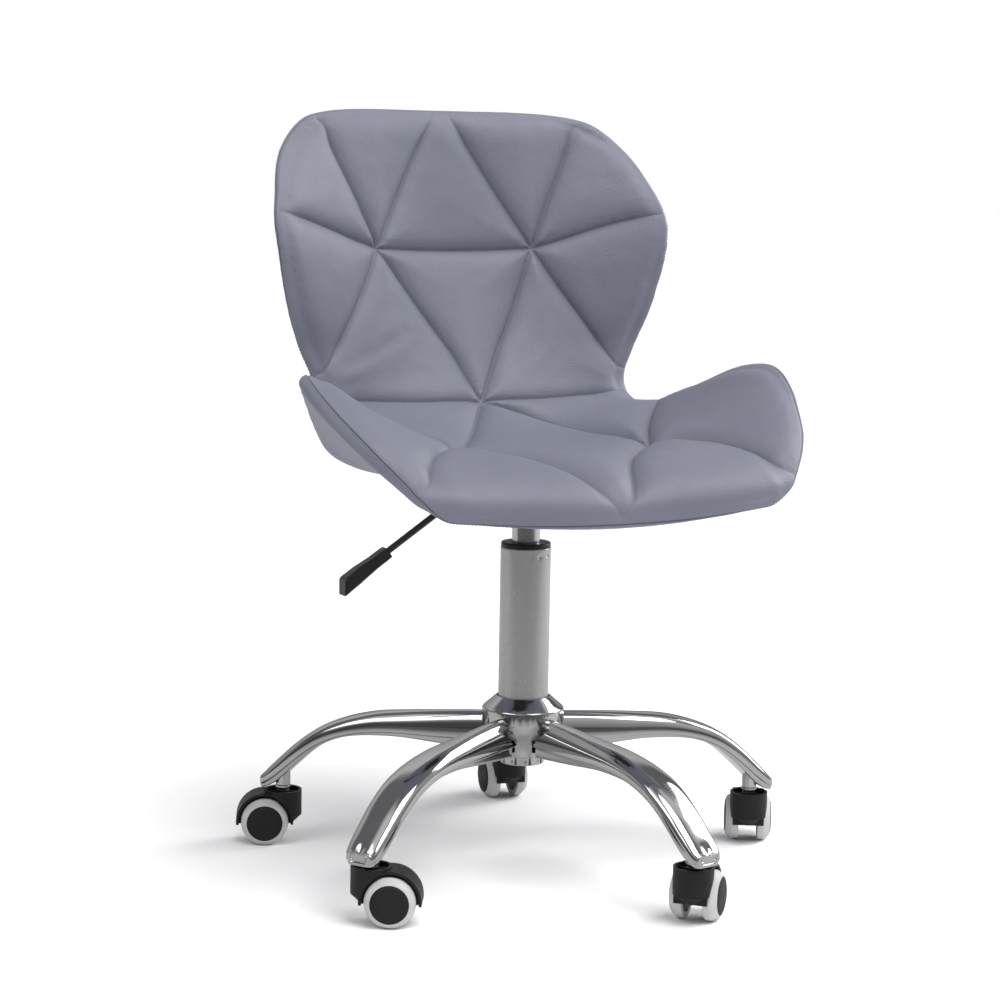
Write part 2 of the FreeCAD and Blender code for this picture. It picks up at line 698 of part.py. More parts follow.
def plate_bolts():
    """Four bolts through the plate into the board's tee nuts."""
    bolts = []
    for number, (x, y) in enumerate(BOLT_PLACES):
        shaft = cylinder_at("bolt_shaft_%d" % number, "bolt_radius", x, y, "plate_low - 1", "bolt_top")
        head = cylinder_at("bolt_head_%d" % number, "bolt_head", x, y,
                           "plate_low - bolt_head_height", "plate_low")
        socket = doc.addObject("Part::Prism", "bolt_socket_%d" % number)
        bind(socket, Circumradius="bolt_socket", Height="bolt_head_height")
        for axis, rule in zip("xyz", (x, y, "plate_low - bolt_head_height - 1")):
            socket.setExpression("Placement.Base." + axis, cells(rule))
        bolts.append(cut("bolt_%d" % number, fuse("bolt_blank_%d" % number, shaft, head), socket))
    return group("plate_bolts", bolts)


def tee_nut_solid(number, x, y):
    barrel = cylinder_at("nut_barrel_%d" % number, "tee_nut_radius", x, y,
                         "bolt_top - tee_height", "bolt_top")
    flange = cylinder_at("nut_flange_%d" % number, "tee_flange", x, y,
                         "bolt_top - tee_flange_thickness", "bolt_top")
    return fuse("nut_blank_%d" % number, barrel, flange)


def tee_nuts():
    nuts = []
    for number, (x, y) in enumerate(BOLT_PLACES):
        hole = cylinder_at("nut_hole_%d" % number, "bolt_radius", x, y,
                           "bolt_top - tee_height - 1", "bolt_top + 1")
        nuts.append(cut("tee_nut_%d" % number, tee_nut_solid(number, x, y), hole))
    return group("tee_nuts", nuts)


def lever_slope():
    return math.radians(size("lever_slope"))


def lever_rod():
    """Bent rod: level under the seat, then sloping down and out to the left."""
    body = doc.addObject("PartDesign::Body", "lever_rod")
    path = new_sketch(body, "lever_path", "XZ_Plane")
    height, slope = size("lever_height"), lever_slope()
    bend_radius = size("lever_bend_radius")
    cutback = bend_radius * math.tan(slope / 2)
    corner = Vector(-size("lever_bend"), height, 0)
    along = Vector(-math.cos(slope), -math.sin(slope), 0)
    bend_in = corner + Vector(cutback, 0, 0)
    bend_out = corner + along * cutback
    bow = Vector(-math.sin(slope / 2), math.cos(slope / 2), 0) * bend_radius
    middle = bend_in - Vector(0, bend_radius, 0) + bow
    path.addGeometry(Part.LineSegment(Vector(size("lever_inner"), height, 0), bend_in))
    path.addGeometry(Part.Arc(bend_in, middle, bend_out))
    path.addGeometry(Part.LineSegment(bend_out, corner + along * size("lever_run")))
    section = new_sketch(body, "lever_section", "YZ_Plane")
    section.addGeometry(Part.Circle(Vector(0, height, 0), UP, size("lever_radius")))
    number = section.addConstraint(Sketcher.Constraint("Radius", 0, size("lever_radius")))
    section.setExpression("Constraints[%d]" % number, cells("lever_radius"))
    section.AttachmentOffset = Placement(Vector(0, 0, size("lever_inner")), Rotation())
    pipe = body.newObject("PartDesign::AdditivePipe", "lever_pipe")
    pipe.Profile = section
    pipe.Spine = path
    return body


def lever_grip():
    """Moulded paddle on the rod's end: slim at the rod, deeper outwards, its end cut upright."""
    wires = []
    for along, half, rise, drop, bevel, lean in GRIP_STATIONS:
        corners = [(half, bevel - drop), (half, rise - bevel), (half - bevel, rise),
                   (bevel - half, rise), (-half, rise - bevel), (-half, bevel - drop),
                   (bevel - half, -drop), (half - bevel, -drop)]
        wires.append(Part.makePolygon([Vector(lean * z - along, y, z) for y, z in corners + corners[:1]]))
    paddle = Part.makeLoft(wires, True, True)
    depth = size("lever_run - grip_start")
    bore = Part.makeCylinder(size("lever_radius"), depth, Vector(), Vector(-1, 0, 0))
    slope = lever_slope()
    down = Vector(-math.cos(slope), 0, -math.sin(slope))
    corner = Vector(-size("lever_bend"), 0, size("lever_height"))
    grip = doc.addObject("Part::Feature", "lever_grip")
    grip.Shape = paddle.cut(bore)
    grip.Placement = Placement(corner + down * size("grip_start"),
                               Rotation(Vector(0, 1, 0), -size("lever_slope")))
    return grip


# ---------------------------------------------------------------- bucket shell

def smooth(table, share):
    """Smooth curve through a table of rows, read at a share of its first column."""
    last = len(table) - 1
    share = min(max(share, table[0][0]), table[-1][0])
    row = next(index for index in range(1, last + 1) if share <= table[index][0])

    def slope(index, column):
        before, after = max(index - 1, 0), min(index + 1, last)
        return (table[after][column] - table[before][column]) / (table[after][0] - table[before][0])

    low, high = table[row - 1], table[row]
    span = high[0] - low[0]
    part = (share - low[0]) / span
    values = []
    for column in range(1, len(low)):
        rise = slope(row - 1, column) * span, slope(row, column) * span
        values.append((2 * part ** 3 - 3 * part ** 2 + 1) * low[column]
                      + (part ** 3 - 2 * part ** 2 + part) * rise[0]
                      + (3 * part ** 2 - 2 * part ** 3) * high[column]
                      + (part ** 3 - part ** 2) * rise[1])
    return values


def measured_line(points):
    """Add to each (y, z) point its distance along the line."""
    rows = [(0.0,) + points[0]]
    for before, here in zip(points, points[1:]):
        rows.append((rows[-1][0] + math.dist(before, here),) + here)
    return rows


CENTRE_ROWS = measured_line(CENTRE_LINE)
CENTRE_LENGTH = CENTRE_ROWS[-1][0]


def centre_point(distance):
    """Point on the centre line, carried straight on past both ends."""
    inside = min(max(distance, 0.0), CENTRE_LENGTH)
    y, z = smooth(CENTRE_ROWS, inside)
    step = 1.0 if inside < CENTRE_LENGTH / 2 else -1.0
    y_next, z_next = smooth(CENTRE_ROWS, inside + step)
    way = Vector(0, y_next - y, z_next - z) * step
    way.normalize()
    return Vector(0, y, z) + way * (distance - inside), way


def half_width(share):
    """Half width of the shell, from its middle to its edge."""
    return smooth(BORDER, share)[0] + size("seam_margin")


def face_at(share, out):
    """Point on the shell's front at border level, at a distance out to the side."""
    half, lift, ahead = smooth(BORDER, share)
    curl, bow = smooth(SECTIONS, share)[3:]
    margin = size("seam_margin")
    across = abs(out) / (half + margin)
    point, way = centre_point(share * (CENTRE_LENGTH + 2 * margin) - margin + ahead * across ** bow)
    facing = Vector(0, -way.z, way.y)
    return point + Vector(out, 0, 0) + facing * (lift * across ** curl)


def face_point(share, across):
    """Point on the shell's front at border level; across runs from -1 to 1."""
    return face_at(share, half_width(share) * across)


def face_normal(share, across):
    """Unit normal of the shell's front at border level."""
    step = 0.004
    out = half_width(share) * across
    along = face_at(min(share + step, 1.0), out) - face_at(max(share - step, 0.0), out)
    over = face_at(share, out + 1) - face_at(share, out - 1)
    normal = over.cross(along)
    normal.normalize()
    return normal


def front_rise(share, across):
    """Rise of the padded front over the shell's border."""
    return smooth(SECTIONS, share)[0] * (1 - abs(across) ** 3)


def depth(share, across):
    """Depth of the shell's outside behind its border."""
    edge, middle = smooth(SECTIONS, share)[1:3]
    return edge + (middle - edge) * (1 - across ** 6)


def shell_surface(offset):
    """Spline surface of the shell, moved along its normal by offset(share, across)."""
    sides = [-place for place in reversed(ACROSS[1:])] + list(ACROSS)
    grid = []
    for row in BORDER:
        share = row[0]
        grid.append([face_point(share, across) + face_normal(share, across) * offset(share, across)
                     for across in sides])
    surface = Part.BSplineSurface()
    surface.interpolate(grid)
    return surface.toShape()


SEWING_GAP = 0.01


def layer(name, low_face, high_face):
    """Closed solid between two of the shell's surfaces."""
    walls = [Part.makeRuledSurface(low, high) for low, high in zip(low_face.Edges, high_face.Edges)]
    shell = Part.Shell([low_face, high_face] + walls)
    shell.sewShape()
    solid = Part.Solid(shell)
    solid.fix(SEWING_GAP, SEWING_GAP, 10 * SEWING_GAP)
    if solid.Volume < 0:
        solid.reverse()
    thing = doc.addObject("Part::Feature", name)
    thing.Shape = solid
    return thing


def bucket_shell():
    """Rear cover, plywood board, foam pad and front cover, from the outside in."""
    board = size("board_thickness")
    cover = size("cover_thickness")
    outside = shell_surface(lambda share, across: -depth(share, across))
    board_back = shell_surface(lambda share, across: cover - depth(share, across))
    board_front = shell_surface(lambda share, across: cover + board - depth(share, across))
    pad_front = shell_surface(lambda share, across: front_rise(share, across) - cover)
    skin_front = shell_surface(front_rise)
    keep(layer("foam_pad", board_front, pad_front), "foam_pad")
    keep(layer("front_cover", pad_front, skin_front), "front_cover")
    drills = []
    for number, (x, y) in enumerate(BOLT_PLACES):
        spare = tee_nut_solid(number + 10, x, y)
        drills.append(fuse("drill_%d" % number, spare, cylinder_at(
            "drill_shaft_%d" % number, "tee_nut_radius", x, y, "plate_low", "bolt_top")))
    blank = layer("board_blank", board_back, board_front)
    keep(cut("seat_board", blank, *drills), "seat_board")
    skin = layer("rear_cover_blank", outside, board_back)
    holes = [cylinder_at("cover_hole_%d" % number, "tee_nut_radius", x, y, "plate_low", "bolt_top")
             for number, (x, y) in enumerate(BOLT_PLACES)]
    keep(cut("rear_cover", skin, *holes), "rear_cover")


# ---------------------------------------------------------------- build, check and write

def build():
    for make in (column_tube, guide_bush, foot_plate, bearing_balls, bearing_race, rubber_buffer,
                 piston_rod, retaining_clip, gas_cylinder, release_button, hub, hub_ring,
                 mounting_plate, plate_bolts, tee_nuts, lever_rod, lever_grip):
        keep(make(), make.__name__)
    legs()
    castor_fittings()
    castors()
    bucket_shell()
    doc.recompute()


def check():
    """Stop if any object failed or any sub-part is not a sound solid."""
    for thing in doc.Objects:
        if "Invalid" in thing.State or "Error" in thing.State:
            raise RuntimeError("%s is in error: %s" % (thing.Label, thing.State))
    for thing in SUBPARTS:
        shape = thing.Shape
        if shape.isNull() or not shape.isValid() or not shape.Solids:
            raise RuntimeError("%s has no sound solid" % thing.Label)


def write():
    os.makedirs("parts", exist_ok=True)
    for thing in SUBPARTS:
        thing.Shape.exportStep("parts/%s.step" % thing.Label)
    print("%d sub-parts written" % len(SUBPARTS))


build()
check()
write()
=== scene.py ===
import math

import bpy
import numpy as np
from mathutils import Matrix, Vector, noise
from mathutils.geometry import delaunay_2d_cdt


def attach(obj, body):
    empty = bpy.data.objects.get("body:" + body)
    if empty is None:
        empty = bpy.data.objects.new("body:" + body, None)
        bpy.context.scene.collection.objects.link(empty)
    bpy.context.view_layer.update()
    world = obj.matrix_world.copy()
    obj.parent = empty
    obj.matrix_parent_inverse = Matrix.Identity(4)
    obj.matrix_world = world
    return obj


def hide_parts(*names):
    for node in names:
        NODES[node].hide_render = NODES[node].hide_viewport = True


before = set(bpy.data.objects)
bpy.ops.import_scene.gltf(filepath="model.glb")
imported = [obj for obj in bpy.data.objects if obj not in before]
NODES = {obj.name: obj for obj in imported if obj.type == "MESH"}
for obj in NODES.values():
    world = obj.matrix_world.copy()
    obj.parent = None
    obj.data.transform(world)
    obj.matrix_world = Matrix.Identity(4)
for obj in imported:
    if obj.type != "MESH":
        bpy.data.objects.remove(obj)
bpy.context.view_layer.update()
MM = 0.001
LEGS = range(1, 6)
SIDES = "ab"

# ------------------------------------------------------------------ shell shape, in millimetres

# Centre line of the shell from the front edge, under the seat and up the back (y, z).
CENTRE_LINE = np.array((
    (-195, 372), (-187, 386), (-168, 396), (-135, 400), (-90, 400), (-30, 399.5), (25, 401),
    (66, 409), (102, 428), (131, 459), (152, 499), (170, 545), (187, 595), (200, 647),
    (208, 697), (211, 747)), float)

# Border: share of the centre line, half width, lift, how much further along the border lies.
BORDER = np.array((
    (0.000, 168, -9, 16), (0.014, 180, -5, 12), (0.030, 192, 5, 8.5), (0.052, 203, 14, 5),
    (0.088, 222, 36, 2.5), (0.130, 236, 58, 0), (0.185, 247, 83, 0), (0.240, 248, 101, 0),
    (0.285, 235, 99, 0), (0.330, 221, 88, 0), (0.375, 210, 75, 0), (0.420, 200, 60, 0),
    (0.460, 188, 41, 0), (0.500, 175, 22, 0), (0.535, 169, 19, 0), (0.575, 172, 26, 0),
    (0.610, 183, 35, 0), (0.655, 196, 52, 0), (0.700, 206, 68, 0), (0.750, 213, 82, 0),
    (0.795, 216, 86, 0), (0.840, 212, 81, 0), (0.890, 204, 67, 0), (0.930, 193, 53, 0),
    (0.962, 179, 41, -1.5), (0.984, 169, 36, -8), (1.000, 161, 33, -15)), float)

# Share, rise of the front, depth at the edge and at the middle, curl power, bow power.
SECTIONS = np.array((
    (0.00, 1, 13, 13, 1.6, 2.3), (0.05, 12, 15.5, 15.5, 3.0, 2.3), (0.15, 24, 16, 16, 3.0, 2.3),
    (0.27, 26, 16, 16, 3.0, 3.0), (0.35, 26, 16, 18, 3.0, 3.0), (0.40, 26, 16, 25, 3.0, 3.0),
    (0.44, 25, 15, 38, 3.0, 3.0), (0.475, 24, 14, 48, 2.9, 3.0), (0.51, 23, 13, 43, 2.7, 3.0),
    (0.54, 21, 12.5, 34, 2.5, 3.0), (0.61, 17, 11, 21, 2.2, 3.5), (0.70, 14, 10.5, 13, 2.1, 4.0),
    (0.80, 13, 10.5, 10.5, 2.0, 4.0), (0.95, 9, 10.5, 10.5, 2.0, 4.0),
    (1.00, 1, 10.5, 10.5, 2.0, 4.0)), float)
MARGIN = 1.5

# Quilting seams as (share, across); the mirrored ones are sewn on both halves.
NECK, SPINE, KNEE = (0.780, 0.428), (0.511, 0.012), (0.222, 0.440)
MIRRORED_SEAMS = (
    (NECK, (0.780, 0.0)),
    (NECK, (0.900, 0.240), (0.965, 0.130), (1.000, 0.060)),
    (NECK, (0.860, 0.545), (0.920, 0.665), (0.965, 0.790), (1.000, 0.925)),
    (NECK, (0.788, 0.545), (0.804, 0.725), (0.815, 0.880), (0.818, 1.000)),
    (NECK, (0.710, 0.562), (0.648, 0.728), (0.590, 0.930), (0.572, 1.000)),
    ((0.512, 0.200), (0.512, 0.400), (0.516, 0.640), (0.522, 0.890), (0.524, 1.000)),
    (KNEE, (0.318, 0.655), (0.390, 0.840), (0.445, 1.000)),
    (KNEE, (0.196, 0.545), (0.148, 0.650), (0.093, 0.785), (0.060, 0.885), (0.040, 1.000)),
    (KNEE, (0.165, 0.285), (0.100, 0.170), (0.042, 0.100), (0.015, 0.052), (0.000, 0.018)),
)
SINGLE_SEAMS = (
    ((0.780, -0.428), (0.690, -0.255), (0.602, -0.095), SPINE),
    (NECK, (0.686, 0.325), (0.601, 0.188), SPINE),
    ((0.512, -0.200), SPINE),
    (SPINE, (0.512, 0.200)),
    (SPINE, (0.473, 0.235), (0.400, 0.415), (0.295, 0.455), KNEE),
    (SPINE, (0.440, -0.115), (0.335, -0.290), (0.222, -0.440)),
)


def hermite(table, share):
    """Smooth curve through a table's rows, read at many shares of its first column."""
    share = np.clip(np.asarray(share, float), table[0, 0], table[-1, 0])
    row = np.clip(np.searchsorted(table[:, 0], share), 1, len(table) - 1)
    before = np.maximum(np.arange(len(table)) - 1, 0)
    after = np.minimum(np.arange(len(table)) + 1, len(table) - 1)
    slope = (table[after, 1:] - table[before, 1:]) / (table[after, :1] - table[before, :1])
    low, high = table[row - 1], table[row]
    span = (high[..., 0] - low[..., 0])[..., None]
    part = (share - low[..., 0])[..., None] / span
    return ((2 * part ** 3 - 3 * part ** 2 + 1) * low[..., 1:]
            + (part ** 3 - 2 * part ** 2 + part) * slope[row - 1] * span
            + (3 * part ** 2 - 2 * part ** 3) * high[..., 1:]
            + (part ** 3 - part ** 2) * slope[row] * span)


STEPS = np.r_[0.0, np.cumsum(np.hypot(*np.diff(CENTRE_LINE, axis=0).T))]
CENTRE_ROWS = np.column_stack([STEPS, CENTRE_LINE])
LENGTH = CENTRE_ROWS[-1, 0]


def unit(vectors):
    """The same directions with length 1."""
    return vectors / np.linalg.norm(vectors, axis=-1, keepdims=True)


def smooth_step(part):
    """0 to 1 with a level start and a level end."""
    part = np.clip(part, 0, 1)
    return part * part * (3 - 2 * part)


def centre_point(distance):
    """Point and direction of the centre line, carried straight on past both ends."""
    inside = np.clip(distance, 0, LENGTH)
    here = hermite(CENTRE_ROWS, inside)
    step = np.where(inside < LENGTH / 2, 1.0, -1.0)
    way = unit((hermite(CENTRE_ROWS, inside + step) - here) * step[..., None])
    return here + way * (distance - inside)[..., None], way


def half_width(share):
    """Half the shell's width, measured flat, at a share of its centre line."""
    return hermite(BORDER, share)[..., 0] + MARGIN


def face_at(share, out):
    """Shell front at border level, at a distance out to the side."""
    half, lift, ahead = np.moveaxis(hermite(BORDER, share), -1, 0)
    curl, bow = np.moveaxis(hermite(SECTIONS, share)[..., 3:], -1, 0)
    across = np.abs(out) / (half + MARGIN)
    point, way = centre_point(share * (LENGTH + 2 * MARGIN) - MARGIN + ahead * across ** bow)
    rise = lift * across ** curl
    return np.stack([out, point[..., 0] - way[..., 1] * rise, point[..., 1] + way[..., 0] * rise], -1)


def face(share, across):
    """Point and unit normal of the shell front at border level."""
    out = half_width(share) * across
    step = 0.004
    along = face_at(np.minimum(share + step, 1), out) - face_at(np.maximum(share - step, 0), out)
    over = face_at(share, out + 1) - face_at(share, out - 1)
    return face_at(share, out), unit(np.cross(over, along))


def front_rise(share, across):
    """Rise of the padded front over border level."""
    return hermite(SECTIONS, share)[..., 0] * (1 - np.abs(across) ** 3)


# Padding behind the wings: where its middle lies, how far it spreads, its thickness; then where
# it begins across the shell, how soon it is full, and how much of it is lost at the border.
WING_SHARE, WING_SPAN, WING_PADDING = 0.33, 0.11, 10.0
WING_START, WING_RUN, WING_LOSS = 0.25, 0.45, 0.7


def rear_depth(share, across):
    """Depth from the face to the rear leather, with soft padding behind the wings."""
    edge, middle = np.moveaxis(hermite(SECTIONS, share)[..., 1:3], -1, 0)
    outer = np.clip((np.abs(across) - WING_START) / WING_RUN, 0, 1) * (1 - WING_LOSS * across ** 12)
    wing = np.exp(-((share - WING_SHARE) / WING_SPAN) ** 2) * smooth_step(outer)
    return edge + (middle - edge) * (1 - across ** 6) + WING_PADDING * wing


# ------------------------------------------------------------------ mesh helpers

def new_object(name, points, faces, body, material):
    """Visible piece that rides a body, with one material."""
    mesh = mesh_of(name, points, faces)
    piece = bpy.data.objects.new(name, mesh)
    bpy.context.scene.collection.objects.link(piece)
    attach(piece, body)
    mesh.materials.append(material)
    return piece


def mesh_of(name, points, faces, smooth=True):
    """Mesh from points in millimetres."""
    mesh = bpy.data.meshes.new(name)
    mesh.from_pydata((np.asarray(points, float) * MM).tolist(), [], [list(map(int, f)) for f in faces])
    mesh.validate()
    if smooth:
        mesh.shade_smooth()
    return mesh


def grid_faces(rows, columns, wrap_rows=False, wrap_columns=False, flip=False):
    """Quads of a grid of points stored row by row."""
    faces = []
    for row in range(rows if wrap_rows else rows - 1):
        for column in range(columns if wrap_columns else columns - 1):
            below, right = (row + 1) % rows, (column + 1) % columns
            quad = [row * columns + column, row * columns + right, below * columns + right,
                    below * columns + column]
            faces.append(quad[::-1] if flip else quad)
    return faces


def add_modifier(piece, kind, **settings):
    """Modifier of a kind, named after it, with the given settings."""
    modifier = piece.modifiers.new(kind.lower(), kind)
    for key, value in settings.items():
        setattr(modifier, key, value)


def closed(line):
    """A ring of points with its first point again at the end."""
    return np.vstack([line, line[:1]])


def with_rings(points, faces, loop, rows, flip=False):
    """Mesh carried on past its open edge by rings of points, one after another."""
    ring, count = list(loop), len(loop)
    faces = list(faces)
    for row in rows:
        fresh = [len(points) + i for i in range(count)]
        for i in range(count):
            j = (i + 1) % count
            faces.append((ring[i], ring[j], fresh[j], fresh[i]) if flip
                         else (ring[j], ring[i], fresh[i], fresh[j]))
        points = np.vstack([points, row])
        ring = fresh
    return points, faces


def fractal(points, scale, seed, octaves=3):
    """Smooth noise at points in millimetres, about -1 to 1; scale is the size of its bumps."""
    offset = Vector((seed * 13.7, seed * 7.1, seed * 3.3))
    return np.array([noise.fractal(Vector(p) / scale + offset, 1.0, 2.0, octaves) for p in points])


# ------------------------------------------------------------------ materials

def sockets(node, **values):
    """Sets a node's input values; an underscore in a name stands for a space."""
    for name, value in values.items():
        node.inputs[name.replace("_", " ")].default_value = value
    return node


class Paint:
    """A node material with one Principled shader, built step by step."""

    def __init__(self, name, **values):
        self.material = bpy.data.materials.new(name)
        self.material.use_nodes = True
        self.tree = self.material.node_tree
        self.shader = self.tree.nodes["Principled BSDF"]
        self.coordinates = self.tree.nodes.new("ShaderNodeTexCoord")
        for key, value in values.items():
            self.shader.inputs[key].default_value = value
        self.height = None

    def link(self, start, end):
        self.tree.links.new(start, end)

    def _place(self, stretch):
        if stretch is None:
            return self.coordinates.outputs["Object"]
        mapping = self.tree.nodes.new("ShaderNodeMapping")
        mapping.inputs["Scale"].default_value = stretch
        self.link(self.coordinates.outputs["Object"], mapping.inputs["Vector"])
        return mapping.outputs["Vector"]

    def noise(self, scale, detail=3.0, roughness=0.5, stretch=None):
        node = sockets(self.tree.nodes.new("ShaderNodeTexNoise"), Scale=scale, Detail=detail,
                       Roughness=roughness)
        self.link(self._place(stretch), node.inputs["Vector"])
        return node.outputs["Fac"]

    def cells(self, scale):
        node = sockets(self.tree.nodes.new("ShaderNodeTexVoronoi"), Scale=scale)
        self.link(self._place(None), node.inputs["Vector"])
        return node.outputs["Distance"]

    def vary(self, name, factor, *stops):
        """Lets a pattern vary one of the shader's inputs between two (place, colour) stops."""
        node = self.tree.nodes.new("ShaderNodeValToRGB")
        for element, (place, value) in zip(node.color_ramp.elements, stops):
            element.position = place
            element.color = value
        self.link(factor, node.inputs["Fac"])
        self.link(node.outputs["Color"], self.shader.inputs[name])

    def bump(self, output, strength, distance):
        """Adds fine relief on top of any relief before it."""
        node = sockets(self.tree.nodes.new("ShaderNodeBump"), Strength=strength, Distance=distance)
        self.link(output, node.inputs["Height"])
        if self.height:
            self.link(self.height, node.inputs["Normal"])
        self.height = node.outputs["Normal"]
        self.link(self.height, self.shader.inputs["Normal"])


def grey(value):
    """Opaque grey, as a colour or as a plain value for a socket."""
    return (value, value, value, 1.0)


def leather_paint(name, low, high):
    paint = Paint(name, **{"Roughness": 0.5, "Specular IOR Level": 0.4, "Sheen Weight": 0.06,
                           "Sheen Roughness": 0.4, "Sheen Tint": (0.72, 0.74, 1.0, 1.0)})
    paint.vary("Base Color", paint.noise(9.0, 4.0), (0.25, low), (0.75, high))
    paint.vary("Roughness", paint.noise(60.0, 3.0), (0.2, grey(0.44)), (0.8, grey(0.56)))
    paint.bump(paint.cells(780.0), 0.55, 0.0004)
    paint.bump(paint.noise(2300.0, 2.0), 0.2, 0.00015)
    paint.bump(paint.noise(150.0, 3.0), 0.12, 0.0008)
    return paint.material


LEATHER = leather_paint("grey_lilac_leather", (0.148, 0.154, 0.199, 1), (0.170, 0.176, 0.224, 1))
REAR_LEATHER = leather_paint("grey_lilac_rear_leather", (0.166, 0.172, 0.222, 1), (0.188, 0.194, 0.246, 1))


def thread_paint():
    paint = Paint("seam_thread", Roughness=0.7)
    paint.vary("Base Color", paint.noise(900.0, 2.0), (0.3, (0.15, 0.155, 0.2, 1)),
               (0.7, (0.21, 0.215, 0.27, 1)))
    paint.bump(paint.noise(2500.0, 2.0), 0.4, 0.0002)
    return paint.material


def chrome_paint(name, tone, rough_low, rough_high, streak=0.0, metallic=1.0):
    paint = Paint(name, Metallic=metallic)
    paint.vary("Base Color", paint.noise(22.0, 5.0, 0.6), (0.3, grey(tone * 0.93)), (0.7, grey(tone)))
    paint.vary("Roughness", paint.noise(35.0, 6.0, 0.65), (0.3, grey(rough_low)), (0.8, grey(rough_high)))
    if streak:
        paint.bump(paint.noise(320.0, 3.0, 0.5, (1.0, 1.0, 0.04)), streak, 0.0002)
    paint.bump(paint.noise(420.0, 4.0, 0.6), 0.03, 0.0003)
    return paint.material


def black_plastic_paint(name, value, rough):
    paint = Paint(name, **{"Specular IOR Level": 0.3})
    paint.vary("Base Color", paint.noise(45.0, 4.0), (0.3, grey(value * 0.85)), (0.7, grey(value * 1.15)))
    paint.vary("Roughness", paint.noise(90.0, 3.0), (0.3, grey(rough - 0.05)), (0.7, grey(rough + 0.06)))
    paint.bump(paint.noise(1500.0, 3.0), 0.25, 0.00025)
    return paint.material


def tread_paint():
    paint = Paint("grey_tread_rubber", **{"Specular IOR Level": 0.3})
    paint.vary("Base Color", paint.noise(70.0, 5.0), (0.3, (0.46, 0.46, 0.465, 1)),
               (0.7, (0.54, 0.54, 0.545, 1)))
    paint.vary("Roughness", paint.noise(120.0, 3.0), (0.3, grey(0.5)), (0.7, grey(0.66)))
    paint.bump(paint.noise(1300.0, 2.0), 0.18, 0.0002)
    return paint.material


def steel_paint(name, tone, rough):
    paint = Paint(name, Metallic=1.0)
    paint.vary("Base Color", paint.noise(60.0, 5.0), (0.3, grey(tone * 0.85)), (0.7, grey(tone)))
    paint.vary("Roughness", paint.noise(200.0, 4.0, 0.6, (1, 1, 0.05)), (0.3, grey(rough - 0.06)),
               (0.7, grey(rough + 0.08)))
    paint.bump(paint.noise(900.0, 3.0, 0.5, (1, 1, 0.06)), 0.12, 0.0002)
    return paint.material


def coat_paint():
    paint = Paint("black_powder_coat", **{"Specular IOR Level": 0.5})
    paint.vary("Base Color", paint.noise(40.0, 3.0), (0.3, grey(0.016)), (0.7, grey(0.024)))
    paint.vary("Roughness", paint.noise(150.0, 3.0), (0.3, grey(0.34)), (0.7, grey(0.46)))
    paint.bump(paint.noise(1100.0, 3.0), 0.3, 0.0003)
    return paint.material


def wood_paint():
    paint = Paint("bent_plywood", Roughness=0.55)
    paint.vary("Base Color", paint.noise(30.0, 6.0, 0.6, (1.0, 0.12, 0.6)), (0.3, (0.45, 0.30, 0.17, 1)),
               (0.7, (0.62, 0.45, 0.28, 1)))
    paint.bump(paint.noise(260.0, 4.0, 0.5, (1.0, 0.1, 0.6)), 0.2, 0.0003)
    return paint.material


CHROME = chrome_paint("polished_chrome", 0.50, 0.05, 0.14)
SATIN_CHROME = chrome_paint("satin_chrome", 0.42, 0.18, 0.34, streak=0.06, metallic=0.4)
BRIGHT_STEEL = steel_paint("bright_steel", 0.6, 0.2)
STEEL = steel_paint("machined_steel", 0.5, 0.32)
BLACK_COAT = coat_paint()
HOOD_BLACK = black_plastic_paint("castor_black", 0.010, 0.46)
DISC_BLACK = black_plastic_paint("disc_black", 0.011, 0.55)
COLLAR_BLACK = black_plastic_paint("collar_black", 0.012, 0.38)
GRIP_BLACK = black_plastic_paint("grip_black", 0.018, 0.36)
RUBBER = black_plastic_paint("buffer_rubber", 0.02, 0.7)
TREAD = tread_paint()
THREAD = thread_paint()
WOOD = wood_paint()

# ------------------------------------------------------------------ upholstery

# Mesh in the flat plane: steps along the seams and over the skin, how far out the skin's pattern
# is laid, its row height as a share of its step, and its clearances from seams and border.
SEAM_STEP = 3.2
SKIN_STEP, SKIN_REACH, SKIN_ROW = 5.2, 260, 0.866
SKIN_CLEARANCE, BORDER_CLEARANCE = 2.4, 1.0
VALLEY_ROWS = (1.5, 3.6)

# Rounded edge: how far its front seam line is drawn in, tilt where it starts, extra swell along
# the front edge, and the roundness of the front edge and of the sides.
EDGE_INSET = 6.0
EDGE_TILT = 35.0
FRONT_DROP = 3.5
FRONT_EDGE_POWER, SIDE_EDGE_POWER = 0.45, 0.85

# How far the padded edge swells past the shell's border: share, millimetres.
EDGE_REACH = np.array((
    (0.00, 6.0), (0.08, 4.0), (0.16, 4.5), (0.24, 10.5), (0.32, 12.5), (0.40, 9.0), (0.60, 10.5),
    (0.74, 7.5), (0.86, 5.5), (0.93, 6.0), (1.00, 6.0)), float)

# Where the front seam lies round the shell's rounded edge: share, degrees from the front.
FRONT_SEAM_TURN = np.array((
    (0.00, 52), (0.05, 58), (0.15, 76), (0.42, 76), (0.55, 30), (0.63, 10), (0.80, 10),
    (0.93, 100), (1.00, 100)), float)
REAR_SEAM_TURN = 160.0

# Passes that round off the corners of the border, and how far in the leather goes along.
CROWN_PASSES, FRONT_CORNER_PASSES, CORNER_CARRY = 100, 16, 22.0

# Shares over which the front edge's swell and roundness fade into the sides'.
DROP_RUN, ROUNDNESS_RUN = 0.04, 0.10

# Puckers of the edge: everywhere, and more on the flanks of the back between two shares.
PUCKER, FLANK_PUCKER, PUCKER_SIZE = 0.15, 0.6, 5.5
FLANK_START, FLANK_END, FLANK_FADE = 0.56, 0.86, 0.06

